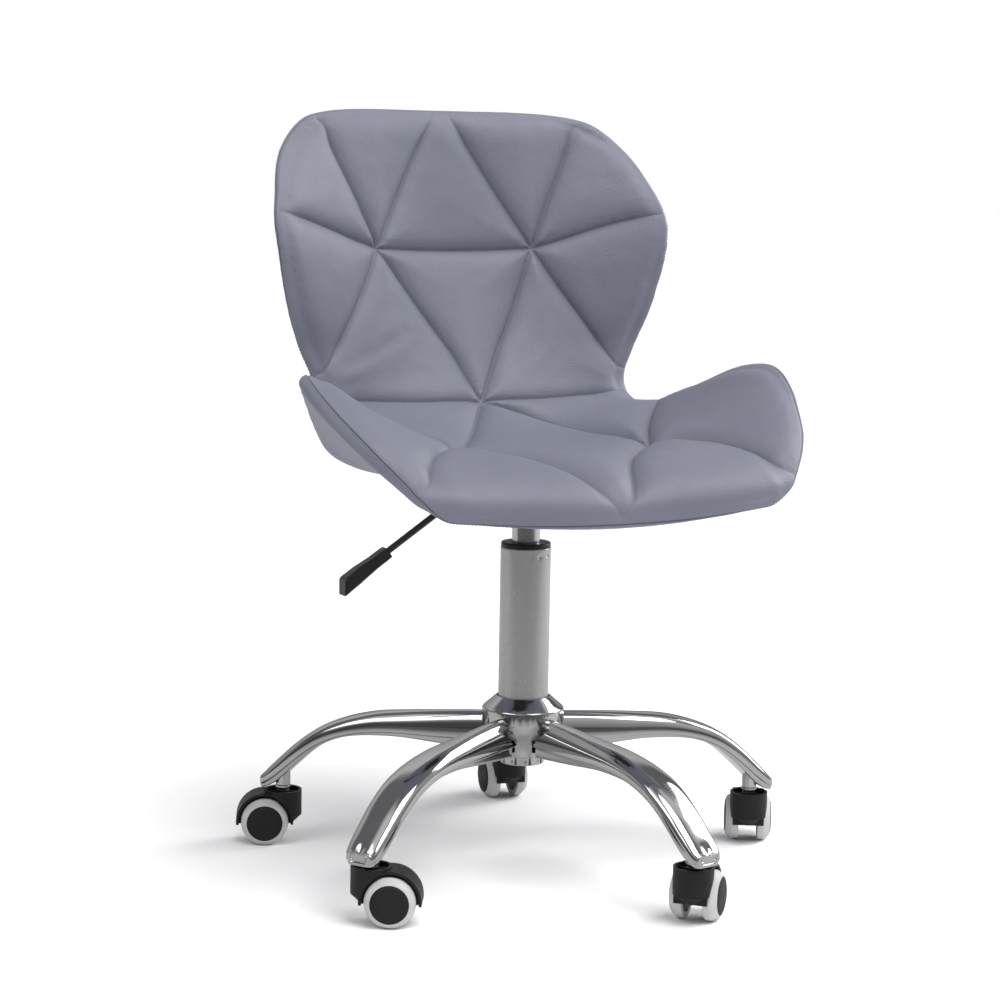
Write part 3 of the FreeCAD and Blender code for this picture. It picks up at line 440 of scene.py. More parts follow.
# Relief of the quilting, in millimetres: stitch line, valley beside it, crown between the seams,
# pit where seams meet, and groove along the border. The first two are shallow near the border.
STITCH_LINE, STITCH_LINE_OPEN, STITCH_LINE_WIDTH = 0.9, 1.0, 1.2
VALLEY, SEAT_VALLEY = 5.0, 1.8
VALLEY_WIDTH, SEAT_VALLEY_WIDTH = 5.2, 2.6
CROWN, CROWN_WIDTH, CROWN_EDGE_WIDTH = 5.2, 30.0, 6.0
PIT, PIT_WIDTH_SQUARED = 3.2, 90.0
BORDER_GROOVE, BORDER_GROOVE_WIDTH = 1.4, 3.5
OPEN_REACH, LEAST_VALLEY = 34.0, 0.12

# Wrinkles as (height, size, seed); they fade out near a seam or the border.
WRINKLES = ((0.7, 55.0, 1), (0.22, 17.0, 2))
WRINKLE_FADE = 25.0
REAR_WRINKLE = (0.35, 70.0, 5)
REAR_WRINKLE_FADE = 30.0

# Faint folds pressed into the leather low on one side of the back, as (share, across).
FOLDS = (((0.585, -0.90), (0.640, -0.72), (0.695, -0.58)),
         ((0.585, -0.87), (0.605, -0.65), (0.640, -0.40)))
FOLD_DIP, FOLD_DIP_WIDTH = 0.5, 7.0
FOLD_RIDGE, FOLD_RIDGE_GAP, FOLD_RIDGE_WIDTH = 0.4, 13.0, 8.0


def drawn_in(share, across, inset=EDGE_INSET):
    """The matching place on the shell drawn in from its border by an inset."""
    margin = inset / LENGTH
    share = margin + share * (1 - 2 * margin)
    return share, across * (1 - inset / half_width(share))


def to_flat(share, across):
    """Places on the shell, laid out in a flat plane in millimetres."""
    return np.column_stack([across * half_width(share), share * LENGTH])


def from_flat(flat):
    """Share and across of points in the flat plane."""
    share = np.clip(flat[:, 1] / LENGTH, 0, 1)
    return share, np.clip(flat[:, 0] / half_width(share), -1, 1)


def arc_lengths(points):
    """Distance travelled along a polyline at each of its points."""
    return np.r_[0, np.cumsum(np.linalg.norm(np.diff(points, axis=0), axis=1))]


def resampled(points, step):
    """Points an even step apart along a polyline."""
    travel = arc_lengths(points)
    places = np.linspace(0, travel[-1], max(3, int(round(travel[-1] / step)) + 1))
    return np.column_stack([np.interp(places, travel, column) for column in points.T])


def seam_line(points):
    """Seam in the flat plane through control points given as (share, across)."""
    control = np.array(points, float)
    flat = to_flat(control[:, 0], control[:, 1])
    if len(flat) > 2:
        table = np.column_stack([arc_lengths(flat), flat])
        flat = hermite(table, np.linspace(0, table[-1, 0], 300))
    return resampled(flat, SEAM_STEP)


def seam_lines():
    """Every seam in the flat plane: the mirrored ones twice, then the single ones."""
    lines = [seam_line(points) for points in MIRRORED_SEAMS]
    lines += [line * (-1, 1) for line in lines]
    return lines + [seam_line(points) for points in SINGLE_SEAMS]


def border_line():
    """Closed border in the flat plane, counted round from the middle of the front edge."""
    rows = np.linspace(0, 1, 1200)
    front = np.linspace(0, half_width(0.0), int(half_width(0.0) / SEAM_STEP) + 1)[:-1]
    back = front[::-1] * half_width(1.0) / half_width(0.0)
    half = np.vstack([np.column_stack([front, np.zeros_like(front)]),
                      resampled(to_flat(rows, np.ones_like(rows)), SEAM_STEP),
                      np.column_stack([back, np.full_like(back, LENGTH)])])
    return np.vstack([half, (half * (-1, 1))[-2:0:-1]])


def distance_to(points, line):
    """Distance from each point to a polyline."""
    best = np.full(len(points), np.inf)
    for start, end in zip(line[:-1], line[1:]):
        run = end - start
        part = np.clip(((points - start) @ run) / max(run @ run, 1e-9), 0, 1)
        best = np.minimum(best, np.linalg.norm(points - start - part[:, None] * run, axis=1))
    return best


def rows_beside(line, gap):
    """Points at a gap to both sides of a seam."""
    way = unit(np.gradient(line, axis=0))
    side = np.column_stack([-way[:, 1], way[:, 0]])
    return np.vstack([line + side * gap, line - side * gap])


def hexagon_points(step):
    """Even triangular pattern of points that covers the flat plane."""
    reach, high = int(SKIN_REACH / step), int(LENGTH / (step * SKIN_ROW))
    points = [(step * (column + 0.5 * (row % 2)), step * SKIN_ROW * row)
              for row in range(high + 1) for column in range(-reach, reach + 1)]
    return np.array(points)


def flat_mesh(lines):
    """Triangles over the flat plane with edges along the border and every seam."""
    border = border_line()
    count = len(border)
    edges = [(i, (i + 1) % count) for i in range(count)]
    placed = [border]
    for line in lines:
        edges += [(count + i, count + i + 1) for i in range(len(line) - 1)]
        placed.append(line)
        count += len(line)
    layers = [(np.vstack([rows_beside(line, gap) for line in lines]), gap)
              for gap in VALLEY_ROWS if lines]
    layers.append((hexagon_points(SKIN_STEP), VALLEY_ROWS[-1] + SKIN_CLEARANCE if lines else 0.0))
    for points, gap in layers:
        share = points[:, 1] / LENGTH
        inside = (share > 0) & (share < 1)
        inside &= np.abs(points[:, 0]) < half_width(share) - BORDER_CLEARANCE
        points = points[inside]
        clear = distance_to(points, closed(border)) > max(0.45 * SKIN_STEP, 0.5 * gap)
        for line in lines:
            clear &= distance_to(points, line) > 0.93 * gap
        placed.append(points[clear])
    points = [Vector(point) for point in np.vstack(placed)]
    result = delaunay_2d_cdt(points, edges, [], 0, 1e-3)
    flat = np.array([tuple(point) for point in result[0]])
    middles = np.array([flat[list(corners)].mean(0) for corners in result[2]])
    kept = np.abs(middles[:, 0]) < half_width(middles[:, 1] / LENGTH) - 0.02
    return flat, [tuple(corners) for corners, keep in zip(result[2], kept) if keep]


def boundary_of(faces):
    """Vertices round the open edge of a mesh, in order, with the faces on their left."""
    directed = {(a, b) for corners in faces for a, b in zip(corners, corners[1:] + corners[:1])}
    following = {a: b for a, b in directed if (b, a) not in directed}
    start = min(following)
    loop = [start]
    while following[loop[-1]] != start:
        loop.append(following[loop[-1]])
    return loop


def smoothed_round(values, passes):
    """Values round a closed ring, each pass averaging them with their neighbours."""
    for _ in range(passes):
        values = (np.roll(values, 1, 0) + 2 * values + np.roll(values, -1, 0)) / 4
    return values


def corner_share(flat):
    """1 at the four corners of the border, falling to 0 about 75 mm away."""
    corners = np.array([(side * half_width(share), share * LENGTH)
                        for side in (-1.0, 1.0) for share in (0.0, 1.0)])
    gap = np.linalg.norm(flat[:, None] - corners[None], axis=2).min(1)
    return smooth_step(1.25 - gap / 60.0)


class Rim:
    """Rounded edge of the shell, worked out once round the border of a flat mesh."""

    def __init__(self, flat, loop):
        share, across = drawn_in(*from_flat(flat[loop]))
        place, normal = face(share, across)
        crown = (share > 0.5)[:, None]
        rounded = np.where(crown, smoothed_round(place, CROWN_PASSES),
                           smoothed_round(place, FRONT_CORNER_PASSES))
        self.shift = (rounded - place) * corner_share(flat[loop])[:, None]
        self.place = place + self.shift
        self.normal = unit(smoothed_round(normal, 12))
        way = unit(np.roll(self.place, -1, 0) - np.roll(self.place, 1, 0))
        self.outward = unit(smoothed_round(unit(np.cross(way, self.normal)), 8))
        depth = rear_depth(share, np.ones_like(share))
        self.rear = self.place - self.normal * depth[:, None]
        ends = np.abs(across) < 0.995
        turn = hermite(FRONT_SEAM_TURN, share)[:, 0]
        turn = np.where(ends & (share < 0.5), FRONT_SEAM_TURN[0, 1], turn)
        turn = np.where(ends & (share > 0.5), FRONT_SEAM_TURN[-1, 1], turn)
        self.turn = smoothed_round(turn, 20)
        flank = (np.clip((share - FLANK_START) / FLANK_FADE, 0, 1)
                 * np.clip((FLANK_END - share) / FLANK_FADE, 0, 1))
        self.pucker = fractal(self.place, PUCKER_SIZE, 3, 2) * (PUCKER + FLANK_PUCKER * flank)
        self.drop = smoothed_round(FRONT_DROP * np.clip(1 - share / DROP_RUN, 0, 1), 30)
        self.reach = smoothed_round(hermite(EDGE_REACH, share)[:, 0], 20)
        away = smoothed_round(np.clip(share / ROUNDNESS_RUN, 0, 1), 20)
        self.power = FRONT_EDGE_POWER + (SIDE_EDGE_POWER - FRONT_EDGE_POWER) * away

    def gap_to(self, place):
        """Distance from points on the shell to its border."""
        return distance_to(place, closed(self.place))

    def carried(self, place, edge_gap):
        """How far points near the border go along with its rounded corners."""
        near = np.argmin(np.linalg.norm(place[:, None, ::2] - self.place[None, :, ::2], axis=2), axis=1)
        return self.shift[near] * np.exp(-(edge_gap / CORNER_CARRY) ** 2)[:, None]

    def row(self, front, turn, sunk=0.0, pucker=1.0):
        """Ring of points at an angle round the edge, in degrees from the front."""
        angle = np.radians(turn)
        middle, half = (front + self.rear) / 2, (front - self.rear) / 2
        before = angle < math.pi / 2
        tilt = math.radians(EDGE_TILT)
        eased = tilt + (math.pi / 2 - tilt) * angle / (math.pi / 2)
        swell = np.where(before, (np.sin(eased) - math.sin(tilt)) / (1 - math.sin(tilt)),
                         np.abs(np.sin(angle)) ** self.power)
        level = np.where(before, np.cos(eased) / math.cos(tilt), -np.abs(np.cos(angle)) ** self.power)
        reach = (self.reach + self.drop + self.pucker * pucker) * swell
        place = middle + half * level[:, None] + self.outward * reach[:, None]
        inward = unit(half) * np.cos(angle)[:, None] + self.outward * np.sin(angle)[:, None]
        return place - inward * sunk


def seam_depth(level, lines, edge_gap, seat):
    """Height of the padded leather over the shell's front, and the gap to the nearest seam."""
    seams = []
    for line in lines:
        share, across = drawn_in(*from_flat(line))
        place, normal = face(share, across)
        seams.append(place + normal * front_rise(share, across)[:, None])
    gap = np.min([distance_to(level, seam) for seam in seams], axis=0)
    open_share = smooth_step(edge_gap / OPEN_REACH)
    stitch_line = -(STITCH_LINE + STITCH_LINE_OPEN * open_share) * np.exp(-gap / STITCH_LINE_WIDTH)
    open_share = LEAST_VALLEY + (1 - LEAST_VALLEY) * open_share
    rounded_gap = np.sqrt(gap * gap + 1.5) - 1.2
    valley = (-(VALLEY + SEAT_VALLEY * seat)
              * np.exp(-rounded_gap / (VALLEY_WIDTH + SEAT_VALLEY_WIDTH * seat)) * open_share)
    crown = CROWN * (1 - np.exp(-gap / CROWN_WIDTH)) * (1 - np.exp(-edge_gap / CROWN_EDGE_WIDTH))
    pit = np.zeros_like(gap)
    for share, across in (NECK, SPINE, KNEE):
        for side in (-1.0, 1.0):
            node, facing = face(*drawn_in(np.array([share]), np.array([across * side])))
            node = node + facing * front_rise(np.array([share]), np.array([across]))[:, None]
            node_gap = np.linalg.norm(level - node, axis=1)
            pit = np.minimum(pit, -PIT * np.exp(-node_gap ** 2 / PIT_WIDTH_SQUARED))
    return stitch_line + valley + crown + pit, gap


def quilted_front():
    """Padded front: panels that crown between the sewn-down seams and roll over the edge."""
    lines = seam_lines()
    flat, faces = flat_mesh(lines)
    loop = boundary_of(faces)
    rim = Rim(flat, loop)
    share, across = drawn_in(*from_flat(flat))
    place, normal = face(share, across)
    level = place + normal * front_rise(share, across)[:, None]
    edge_gap = rim.gap_to(place)
    height, seam_gap = seam_depth(level, lines, edge_gap, np.clip((0.5 - share) / 0.1, 0, 1))
    calm = np.clip(seam_gap / WRINKLE_FADE, 0, 1) * np.clip(edge_gap / WRINKLE_FADE, 0, 1)
    height += sum(high * fractal(level, size, seed) for high, size, seed in WRINKLES) * calm
    for fold in FOLDS:
        gap = distance_to(flat, seam_line(fold))
        dip = -FOLD_DIP * np.exp(-(gap / FOLD_DIP_WIDTH) ** 2)
        ridge = FOLD_RIDGE * np.exp(-((gap - FOLD_RIDGE_GAP) / FOLD_RIDGE_WIDTH) ** 2)
        height += (dip + ridge) * calm ** 0.5
    height -= BORDER_GROOVE * np.exp(-edge_gap / BORDER_GROOVE_WIDTH)
    points = level + normal * height[:, None] + rim.carried(place, edge_gap)
    border = points[loop]
    calm_turn = np.maximum(rim.turn - 8, 0.3 * rim.turn)
    rows = [rim.row(border, calm_turn * part) for part in (0.25, 0.5, 0.75, 1.0)]
    rows += [rim.row(border, rim.turn + past, sunk) for past, sunk in ((-4, 0.25), (-1, 0.8), (2, 1.7))]
    points, faces = with_rings(points, faces, loop, rows)
    piece = new_object("quilted_front", points, faces, "seat", LEATHER)
    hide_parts("front_cover", "foam_pad")
    add_modifier(piece, "SUBSURF", levels=1, render_levels=1)
    return rim, border


def edge_strip(rim, border):
    """Leather strip sewn on between the front seam and the rear seam."""
    start, finish = rim.turn, REAR_SEAM_TURN
    rows = [rim.row(border, start + past, sunk) for past, sunk in ((1, 1.7), (4, 0.7), (7, 0.2))]
    for part in np.linspace(0.1, 0.94, 10):
        rows.append(rim.row(border, start + (finish - start) * part))
    whole = np.full_like(start, finish)
    rows += [rim.row(border, whole - short, sunk) for short, sunk in ((2, 0.3), (1, 1.5))]
    points = np.stack(rows, 1).reshape(-1, 3)
    faces = grid_faces(len(border), len(rows), wrap_rows=True)
    piece = new_object("edge_strip", points, faces, "seat", LEATHER)
    add_modifier(piece, "SUBSURF", levels=1, render_levels=1)


def rear_panel():
    """Smooth rear cover, sewn to the edge strip."""
    flat, faces = flat_mesh([])
    loop = boundary_of(faces)
    rim = Rim(flat, loop)
    share, across = drawn_in(*from_flat(flat))
    place, normal = face(share, across)
    edge_gap = rim.gap_to(place)
    high, size, seed = REAR_WRINKLE
    wander = high * fractal(place, size, seed) * np.clip(edge_gap / REAR_WRINKLE_FADE, 0, 1)
    points = place - normal * (rear_depth(share, across) + wander)[:, None]
    points += rim.carried(place, edge_gap)
    rows = [rim.row(rim.place, np.full(len(loop), turn), sunk, 0.0) for turn, sunk in (
        (174.0, 0.0), (168.0, 0.0), (REAR_SEAM_TURN + 3, 0.3), (REAR_SEAM_TURN + 1, 1.5))]
    faces = [corners[::-1] for corners in faces]
    points, faces = with_rings(points, faces, loop, rows, flip=True)
    piece = new_object("rear_panel", points, faces, "seat", REAR_LEATHER)
    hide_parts("rear_cover")
    add_modifier(piece, "SUBSURF", levels=1, render_levels=1)


BOARD_ROWS, BOARD_COLUMNS = 90, 50
BOARD_INSET, BOARD_COVER, BOARD_THICKNESS = EDGE_INSET + 4.0, 1.5, 4.0


def inner_board():
    """Bent plywood board inside the leather, drawn in clear of the rounded edge."""
    rows, columns = BOARD_ROWS, BOARD_COLUMNS
    grid = np.meshgrid(np.linspace(0, 1, rows), np.linspace(-1, 1, columns), indexing="ij")
    share, across = [values.ravel() for values in grid]
    place, normal = face(*drawn_in(share, across, BOARD_INSET))
    depth = rear_depth(share, across)[:, None]
    points = np.vstack([place - normal * (depth - BOARD_COVER),
                        place - normal * (depth - BOARD_COVER - BOARD_THICKNESS)])
    lower, size = grid_faces(rows, columns, flip=True), rows * columns
    rim = list(range(columns)) + [columns * row + columns - 1 for row in range(1, rows)]
    rim += [(rows - 1) * columns + column for column in range(columns - 2, -1, -1)]
    rim += [columns * row for row in range(rows - 2, 0, -1)]
    faces = lower + [[size + i for i in reversed(quad)] for quad in lower]
    faces += [(a, b, b + size, a + size) for a, b in zip(rim, rim[1:] + rim[:1])]
    piece = new_object("inner_board", points, faces, "seat", WOOD)
    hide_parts("seat_board")


STITCH_PITCH, STITCH_LENGTH, STITCH_RADIUS, STITCH_SIDES = 3.6, 2.4, 0.38, 6
STITCH_TURN = 13.0
# Rings of a stitch from end to end: place along its half length, share of its radius, lift.
STITCH_RINGS = ((-1, 0.1, -0.2), (-0.6, 1.0, 0.25), (0.6, 1.0, 0.25), (1, 0.1, -0.2))


def stitches(rim, border):
    """Short raised stitches on the edge strip, beside its front seam."""
    line = rim.row(border, rim.turn + STITCH_TURN)
    top = rim.row(border, rim.turn + STITCH_TURN, -1.0) - line
    ring = closed(line)
    travel = arc_lengths(ring)
    count = int(travel[-1] / STITCH_PITCH)
    sides = grid_faces(len(STITCH_RINGS), STITCH_SIDES, wrap_columns=True)
    points, faces = [], []
    for number in range(count):
        centre = (number + 0.5) * travel[-1] / count
        reach = (centre - STITCH_LENGTH / 2, centre + STITCH_LENGTH / 2)
        ends = np.column_stack([np.interp(reach, travel, column) for column in ring.T])
        middle, along = ends.mean(0), (ends[1] - ends[0]) / 2
        up = unit(top[int(np.searchsorted(travel, centre)) % len(line)])
        side = unit(np.cross(along, up))
        start = len(points)
        for part, radius, lift in STITCH_RINGS:
            for corner in range(STITCH_SIDES):
                turn = 2 * math.pi * corner / STITCH_SIDES
                spoke = (up * math.sin(turn) + side * math.cos(turn)) * radius * STITCH_RADIUS
                points.append(middle + along * part + up * lift + spoke)
        first = [start + corner for corner in range(STITCH_SIDES)]
        faces += [[start + corner for corner in quad] for quad in sides]
        faces += [first[::-1], [corner + (len(STITCH_RINGS) - 1) * STITCH_SIDES for corner in first]]
    new_object("edge_stitches", points, faces, "seat", THREAD)


# ------------------------------------------------------------------ metal base

FIRST_LEG_ANGLE, LEG_SPACING = 65.76, 72
LEG_START, LEG_END = 30.0, 272.0

# Pressed leg: distance out, top, bottom, half width, shoulder drop, skirt half width, squareness.
LEG_STATIONS = np.array((
    (15, 154.5, 113.0, 12.8, 26.0, 8.0, 0.85), (45, 153.5, 114.5, 13.0, 26.0, 8.0, 0.85),
    (84, 150.8, 117.0, 14.2, 24.0, 8.8, 0.82), (125, 147.2, 120.5, 16.4, 19.5, 10.8, 0.78),
    (150, 144.4, 120.5, 18.0, 17.5, 12.6, 0.74), (172, 139.6, 119.0, 19.2, 15.5, 14.4, 0.70),
    (190, 134.0, 115.0, 20.0, 14.5, 15.6, 0.67), (208, 126.3, 106.6, 20.4, 14.5, 16.6, 0.64),
    (224, 116.2, 94.4, 20.3, 15.0, 17.0, 0.62), (240, 103.4, 79.8, 19.8, 15.5, 17.0, 0.60),
    (253, 91.0, 67.4, 19.0, 14.5, 16.6, 0.60), (262, 82.2, 61.2, 18.2, 12.5, 15.8, 0.60),
    (269, 74.8, 58.4, 16.8, 9.5, 14.8, 0.60), (272, 71.6, 58.0, 14.6, 7.5, 12.8, 0.60)), float)

# Rounded rim of the leg's tip: how far past the end, how much smaller.
LEG_RIM = ((0.8, 0.03), (1.3, 0.12), (1.3, 0.35))

# Notch in the middle of the leg's tip.
NOTCH_START, NOTCH_RUN, NOTCH_DEPTH, NOTCH_WIDTH = 264.0, 6.0, 2.6, 2.2


def leg_ring(out, shrink=0.0):
    """Section of the pressed leg: domed top, rolled shoulder and inset skirt."""
    top, bottom, half, drop, skirt, square = hermite(LEG_STATIONS, np.array(min(out, LEG_END)))
    shoulder = top - drop
    arch = np.linspace(0, math.pi, 29)
    across = np.sign(np.cos(arch)) * np.abs(np.cos(arch)) ** square * half
    rise = shoulder + (top - shoulder) * np.abs(np.sin(arch)) ** square
    notch = np.clip((out - NOTCH_START) / NOTCH_RUN, 0, 1)
    rise -= NOTCH_DEPTH * notch * np.exp(-(across / NOTCH_WIDTH) ** 2)
    ledge = max(shoulder - 1.8, bottom + 0.9)
    lower = [(half - 0.2, ledge + 0.5), (half - 1.2, ledge), (skirt + 0.2, ledge - 0.2),
             (skirt - 0.3, ledge - 1.2), (skirt - 0.3, bottom + 1.0), (skirt - 1.2, bottom)]
    ring = [(out, y, z) for y, z in zip(across, rise)]
    ring += [(out, -y, z) for y, z in lower]
    ring += [(out, y, z) for y, z in reversed(lower)]
    ring = np.array(ring)
    middle = ring.mean(0)
    return middle + (ring - middle) * (1, 1 - shrink, 1 - shrink)


def leg_mesh():
    """Pressed leg along +X, closed at its tip with a rounded rim."""
    outs = np.r_[np.linspace(LEG_START, 260, 76), np.linspace(261.5, LEG_END, 9)]
    rings = [leg_ring(out) for out in outs]
    rings += [leg_ring(LEG_END + past, shrink) for past, shrink in LEG_RIM]
    size = len(rings[0])
    faces = grid_faces(len(rings), size, wrap_columns=True)
    last = (len(rings) - 1) * size
    faces.append([last + corner for corner in range(size)][::-1])
    return np.vstack(rings), faces


def make_legs():
    """The five pressed legs, turned round the column."""
    points, faces = leg_mesh()
    for number in LEGS:
        angle = math.radians(FIRST_LEG_ANGLE + LEG_SPACING * (number - 1))
        turn = np.array(((math.cos(angle), math.sin(angle), 0), (-math.sin(angle), math.cos(angle), 0),
                         (0, 0, 1)))
        piece = new_object("leg_pressing_%d" % number, points @ turn, faces, "base", CHROME)
        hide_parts("leg_%d" % number)
        add_modifier(piece, "SUBSURF", levels=1, render_levels=2)


COLUMN_RADIUS, COLUMN_TOP, COLUMN_FOOT = 25.0, 321.0, 150.0
# Rounded lip and the top of the bore: how far below the top, how far in from the radius.
COLUMN_LIP = np.array(((0.7, 0.08), (0.2, 0.35), (0.0, 0.8), (0.2, 1.6), (9.0, 1.9)))
# Punched dimples as (degrees, height), and crimp notches at the foot in degrees.
PUNCHES = ((-83.0, 313.0), (-58.0, 314.0), (97.0, 313.5))
PUNCH_DEPTH, PUNCH_WIDTH = 1.6, 1.9
FOOT_NOTCHES = (-150.0, -128.0, -98.0, -62.0, -20.0, 40.0, 100.0, 160.0)
FOOT_NOTCH_DEPTH, FOOT_NOTCH_WIDTH, FOOT_NOTCH_TOP = 1.0, 1.3, 166.0


def way_round(turn, angle):
    """Distance round the column from an angle given in degrees."""
    return COLUMN_RADIUS * np.abs((turn - math.radians(angle) + math.pi) % (2 * math.pi) - math.pi)


def column():
    """Column tube with punched dimples near its top and crimp notches at its foot."""
    heights = np.r_[COLUMN_FOOT, np.arange(155.0, 176.0, 0.7), np.linspace(178, 303, 27),
                    np.arange(304.0, 320.0, 0.5), COLUMN_TOP - COLUMN_LIP[:, 0]]
    radii = np.full(len(heights), COLUMN_RADIUS)
    radii[-len(COLUMN_LIP):] -= COLUMN_LIP[:, 1]
    turns = np.radians(np.arange(0, 360, 2.0))
    height, turn = [grid.ravel() for grid in np.meshgrid(heights, turns, indexing="ij")]
    radius = np.repeat(radii, len(turns))
    outside = radius > COLUMN_RADIUS - 1.0
    for angle, level in PUNCHES:
        gap = np.hypot(way_round(turn, angle), height - level)
        radius = radius - PUNCH_DEPTH * np.exp(-(gap / PUNCH_WIDTH) ** 2) * outside
    for angle in FOOT_NOTCHES:
        fade = np.exp(-np.clip(height - FOOT_NOTCH_TOP, 0, 9) / 2.0)
        notch = np.exp(-(way_round(turn, angle) / FOOT_NOTCH_WIDTH) ** 2)
        radius = radius - FOOT_NOTCH_DEPTH * notch * fade
    points = np.column_stack([radius * np.cos(turn), radius * np.sin(turn), height])
    faces = grid_faces(len(heights), len(turns), wrap_columns=True)
    piece = new_object("column_sleeve", points, faces, "base", SATIN_CHROME)
    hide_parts("column_tube")


# Width of the rounded edges, in millimetres, and the angle from which an edge counts as sharp.
CASTOR_EDGE, METAL_EDGE, SHARP_ANGLE, WELD_GAP = 0.5, 0.4, 35, 0.02
CASTOR_NODES = [node for node in NODES if node.startswith(("castor_hood", "wheel_disc", "wheel_tread"))]
METAL_NODES = ("hub", "hub_ring", "guide_bush", "mounting_plate", "lever_grip", "lever_rod",
               "gas_cylinder", "castor_stems", "castor_sockets")


def soften(nodes, width):
    """Joins the facets of carried-over nodes and rounds their sharp edges."""
    for node in nodes:
        add_modifier(NODES[node], "WELD", merge_threshold=WELD_GAP * MM)
        add_modifier(NODES[node], "BEVEL", width=width * MM, segments=2, limit_method="ANGLE",
                     angle_limit=math.radians(SHARP_ANGLE))
        add_modifier(NODES[node], "WEIGHTED_NORMAL", keep_sharp=False)


# ------------------------------------------------------------------ materials of the CAD nodes

NODE_PAINT = {
    "hub": CHROME, "hub_ring": CHROME, "column_tube": SATIN_CHROME, "guide_bush": COLLAR_BLACK,
    "gas_cylinder": BRIGHT_STEEL, "castor_stems": BRIGHT_STEEL, "castor_sockets": BRIGHT_STEEL,
    "piston_rod": STEEL, "retaining_clip": STEEL, "foot_plate": STEEL, "bearing_balls": STEEL,
    "bearing_race": STEEL, "plate_bolts": STEEL, "tee_nuts": STEEL, "stem_spring_rings": STEEL,
    "mounting_plate": BLACK_COAT, "lever_rod": BLACK_COAT, "release_button": GRIP_BLACK,
    "lever_grip": GRIP_BLACK, "rubber_buffer": RUBBER, "seat_board": WOOD, "foam_pad": LEATHER,
    "front_cover": LEATHER, "rear_cover": REAR_LEATHER,
}
for number in LEGS:
    NODE_PAINT["leg_%d" % number] = CHROME
    NODE_PAINT["castor_hood_%d" % number] = HOOD_BLACK
    NODE_PAINT["castor_axle_%d" % number] = STEEL
    for side in SIDES:
        NODE_PAINT["wheel_disc_%d%s" % (number, side)] = DISC_BLACK
        NODE_PAINT["wheel_tread_%d%s" % (number, side)] = TREAD
for name, paint in NODE_PAINT.items():
    data = NODES[name].data
    data.materials.clear()
    data.materials.append(paint)

# ------------------------------------------------------------------ stage, light and camera

FOCAL_SHARE = 2.524
SENSOR = 36.0
AZIMUTH, ELEVATION, ROLL = math.radians(-27.0), math.radians(7.62), math.radians(0.98)
DISTANCE, SIDE_SHIFT, AIM_HEIGHT = 2.485, -0.0263, 0.3671

SUN_TOWARD, SUN_STRENGTH, SUN_SPREAD = (-0.15, 0.50, -1.0), 2.5, 40
# Soft boxes: name, place, the point each is aimed at, size, power.
SOFT_BOXES = (("right_box", (2.3, 0.1, 1.5), (0, 0, 0.55), (1.3, 1.7), 41),
              ("left_box", (-2.1, -0.6, 2.2), (0, 0, 0.5), (1.8, 1.4), 15))

# Floor tone, and the darker tones that the chrome mirrors at two distances in front of the chair.
FLOOR_SIZE, FLOOR_TONE = 30000.0, 0.97
MIRRORED_NEAR, MIRRORED_FAR = (0.3, 0.55), (1.0, 0.10)

# Tones of the studio from the horizon (0) to overhead (1), and the dark bands laid over it.
STUDIO_TONES = ((0.0, 0.30), (0.25, 0.42), (0.6, 0.72), (1.0, 0.9))
BAND_START, BAND_END, BAND_TONE = 0.41, 0.53, (0.25, 0.25, 0.26, 1)


def make_camera():
    """Camera a little above the seat, in front of the chair and to its right."""
    back = Vector((math.sin(AZIMUTH) * math.cos(ELEVATION), -math.cos(AZIMUTH) * math.cos(ELEVATION),
                   math.sin(ELEVATION)))
    level = Vector((math.cos(AZIMUTH), math.sin(AZIMUTH), 0))
    upright = back.cross(level)
    right = level * math.cos(ROLL) + upright * math.sin(ROLL)
    up = upright * math.cos(ROLL) - level * math.sin(ROLL)
    data = bpy.data.cameras.new("photo_camera")
    data.sensor_width = SENSOR
    data.lens = SENSOR * FOCAL_SHARE
    data.clip_start, data.clip_end = 0.1, 50
    camera = bpy.data.objects.new("photo_camera", data)
    bpy.context.scene.collection.objects.link(camera)
    turn = Matrix((right, up, back)).transposed().to_4x4()
    spot = Vector((0, 0, AIM_HEIGHT)) + right * SIDE_SHIFT + back * DISTANCE
    camera.matrix_world = Matrix.Translation(spot) @ turn
    bpy.context.scene.camera = camera


def area_light(name, place, aim, size, power):
    """Rectangular soft box at a place, turned to a point."""
    data = bpy.data.lights.new(name, "AREA")
    data.shape = "RECTANGLE"
    data.size, data.size_y = size
    data.energy = power
    light = bpy.data.objects.new(name, data)
    light.location = place
    light.rotation_euler = (Vector(aim) - Vector(place)).to_track_quat("-Z", "Y").to_euler()
    bpy.context.scene.collection.objects.link(light)


def sun_light(name, toward, strength, spread):
    """Broad sun that shines along a direction."""
    data = bpy.data.lights.new(name, "SUN")
    data.energy = strength
    data.angle = math.radians(spread)
    light = bpy.data.objects.new(name, data)
    light.rotation_euler = Vector(toward).to_track_quat("-Z", "Y").to_euler()
    bpy.context.scene.collection.objects.link(light)


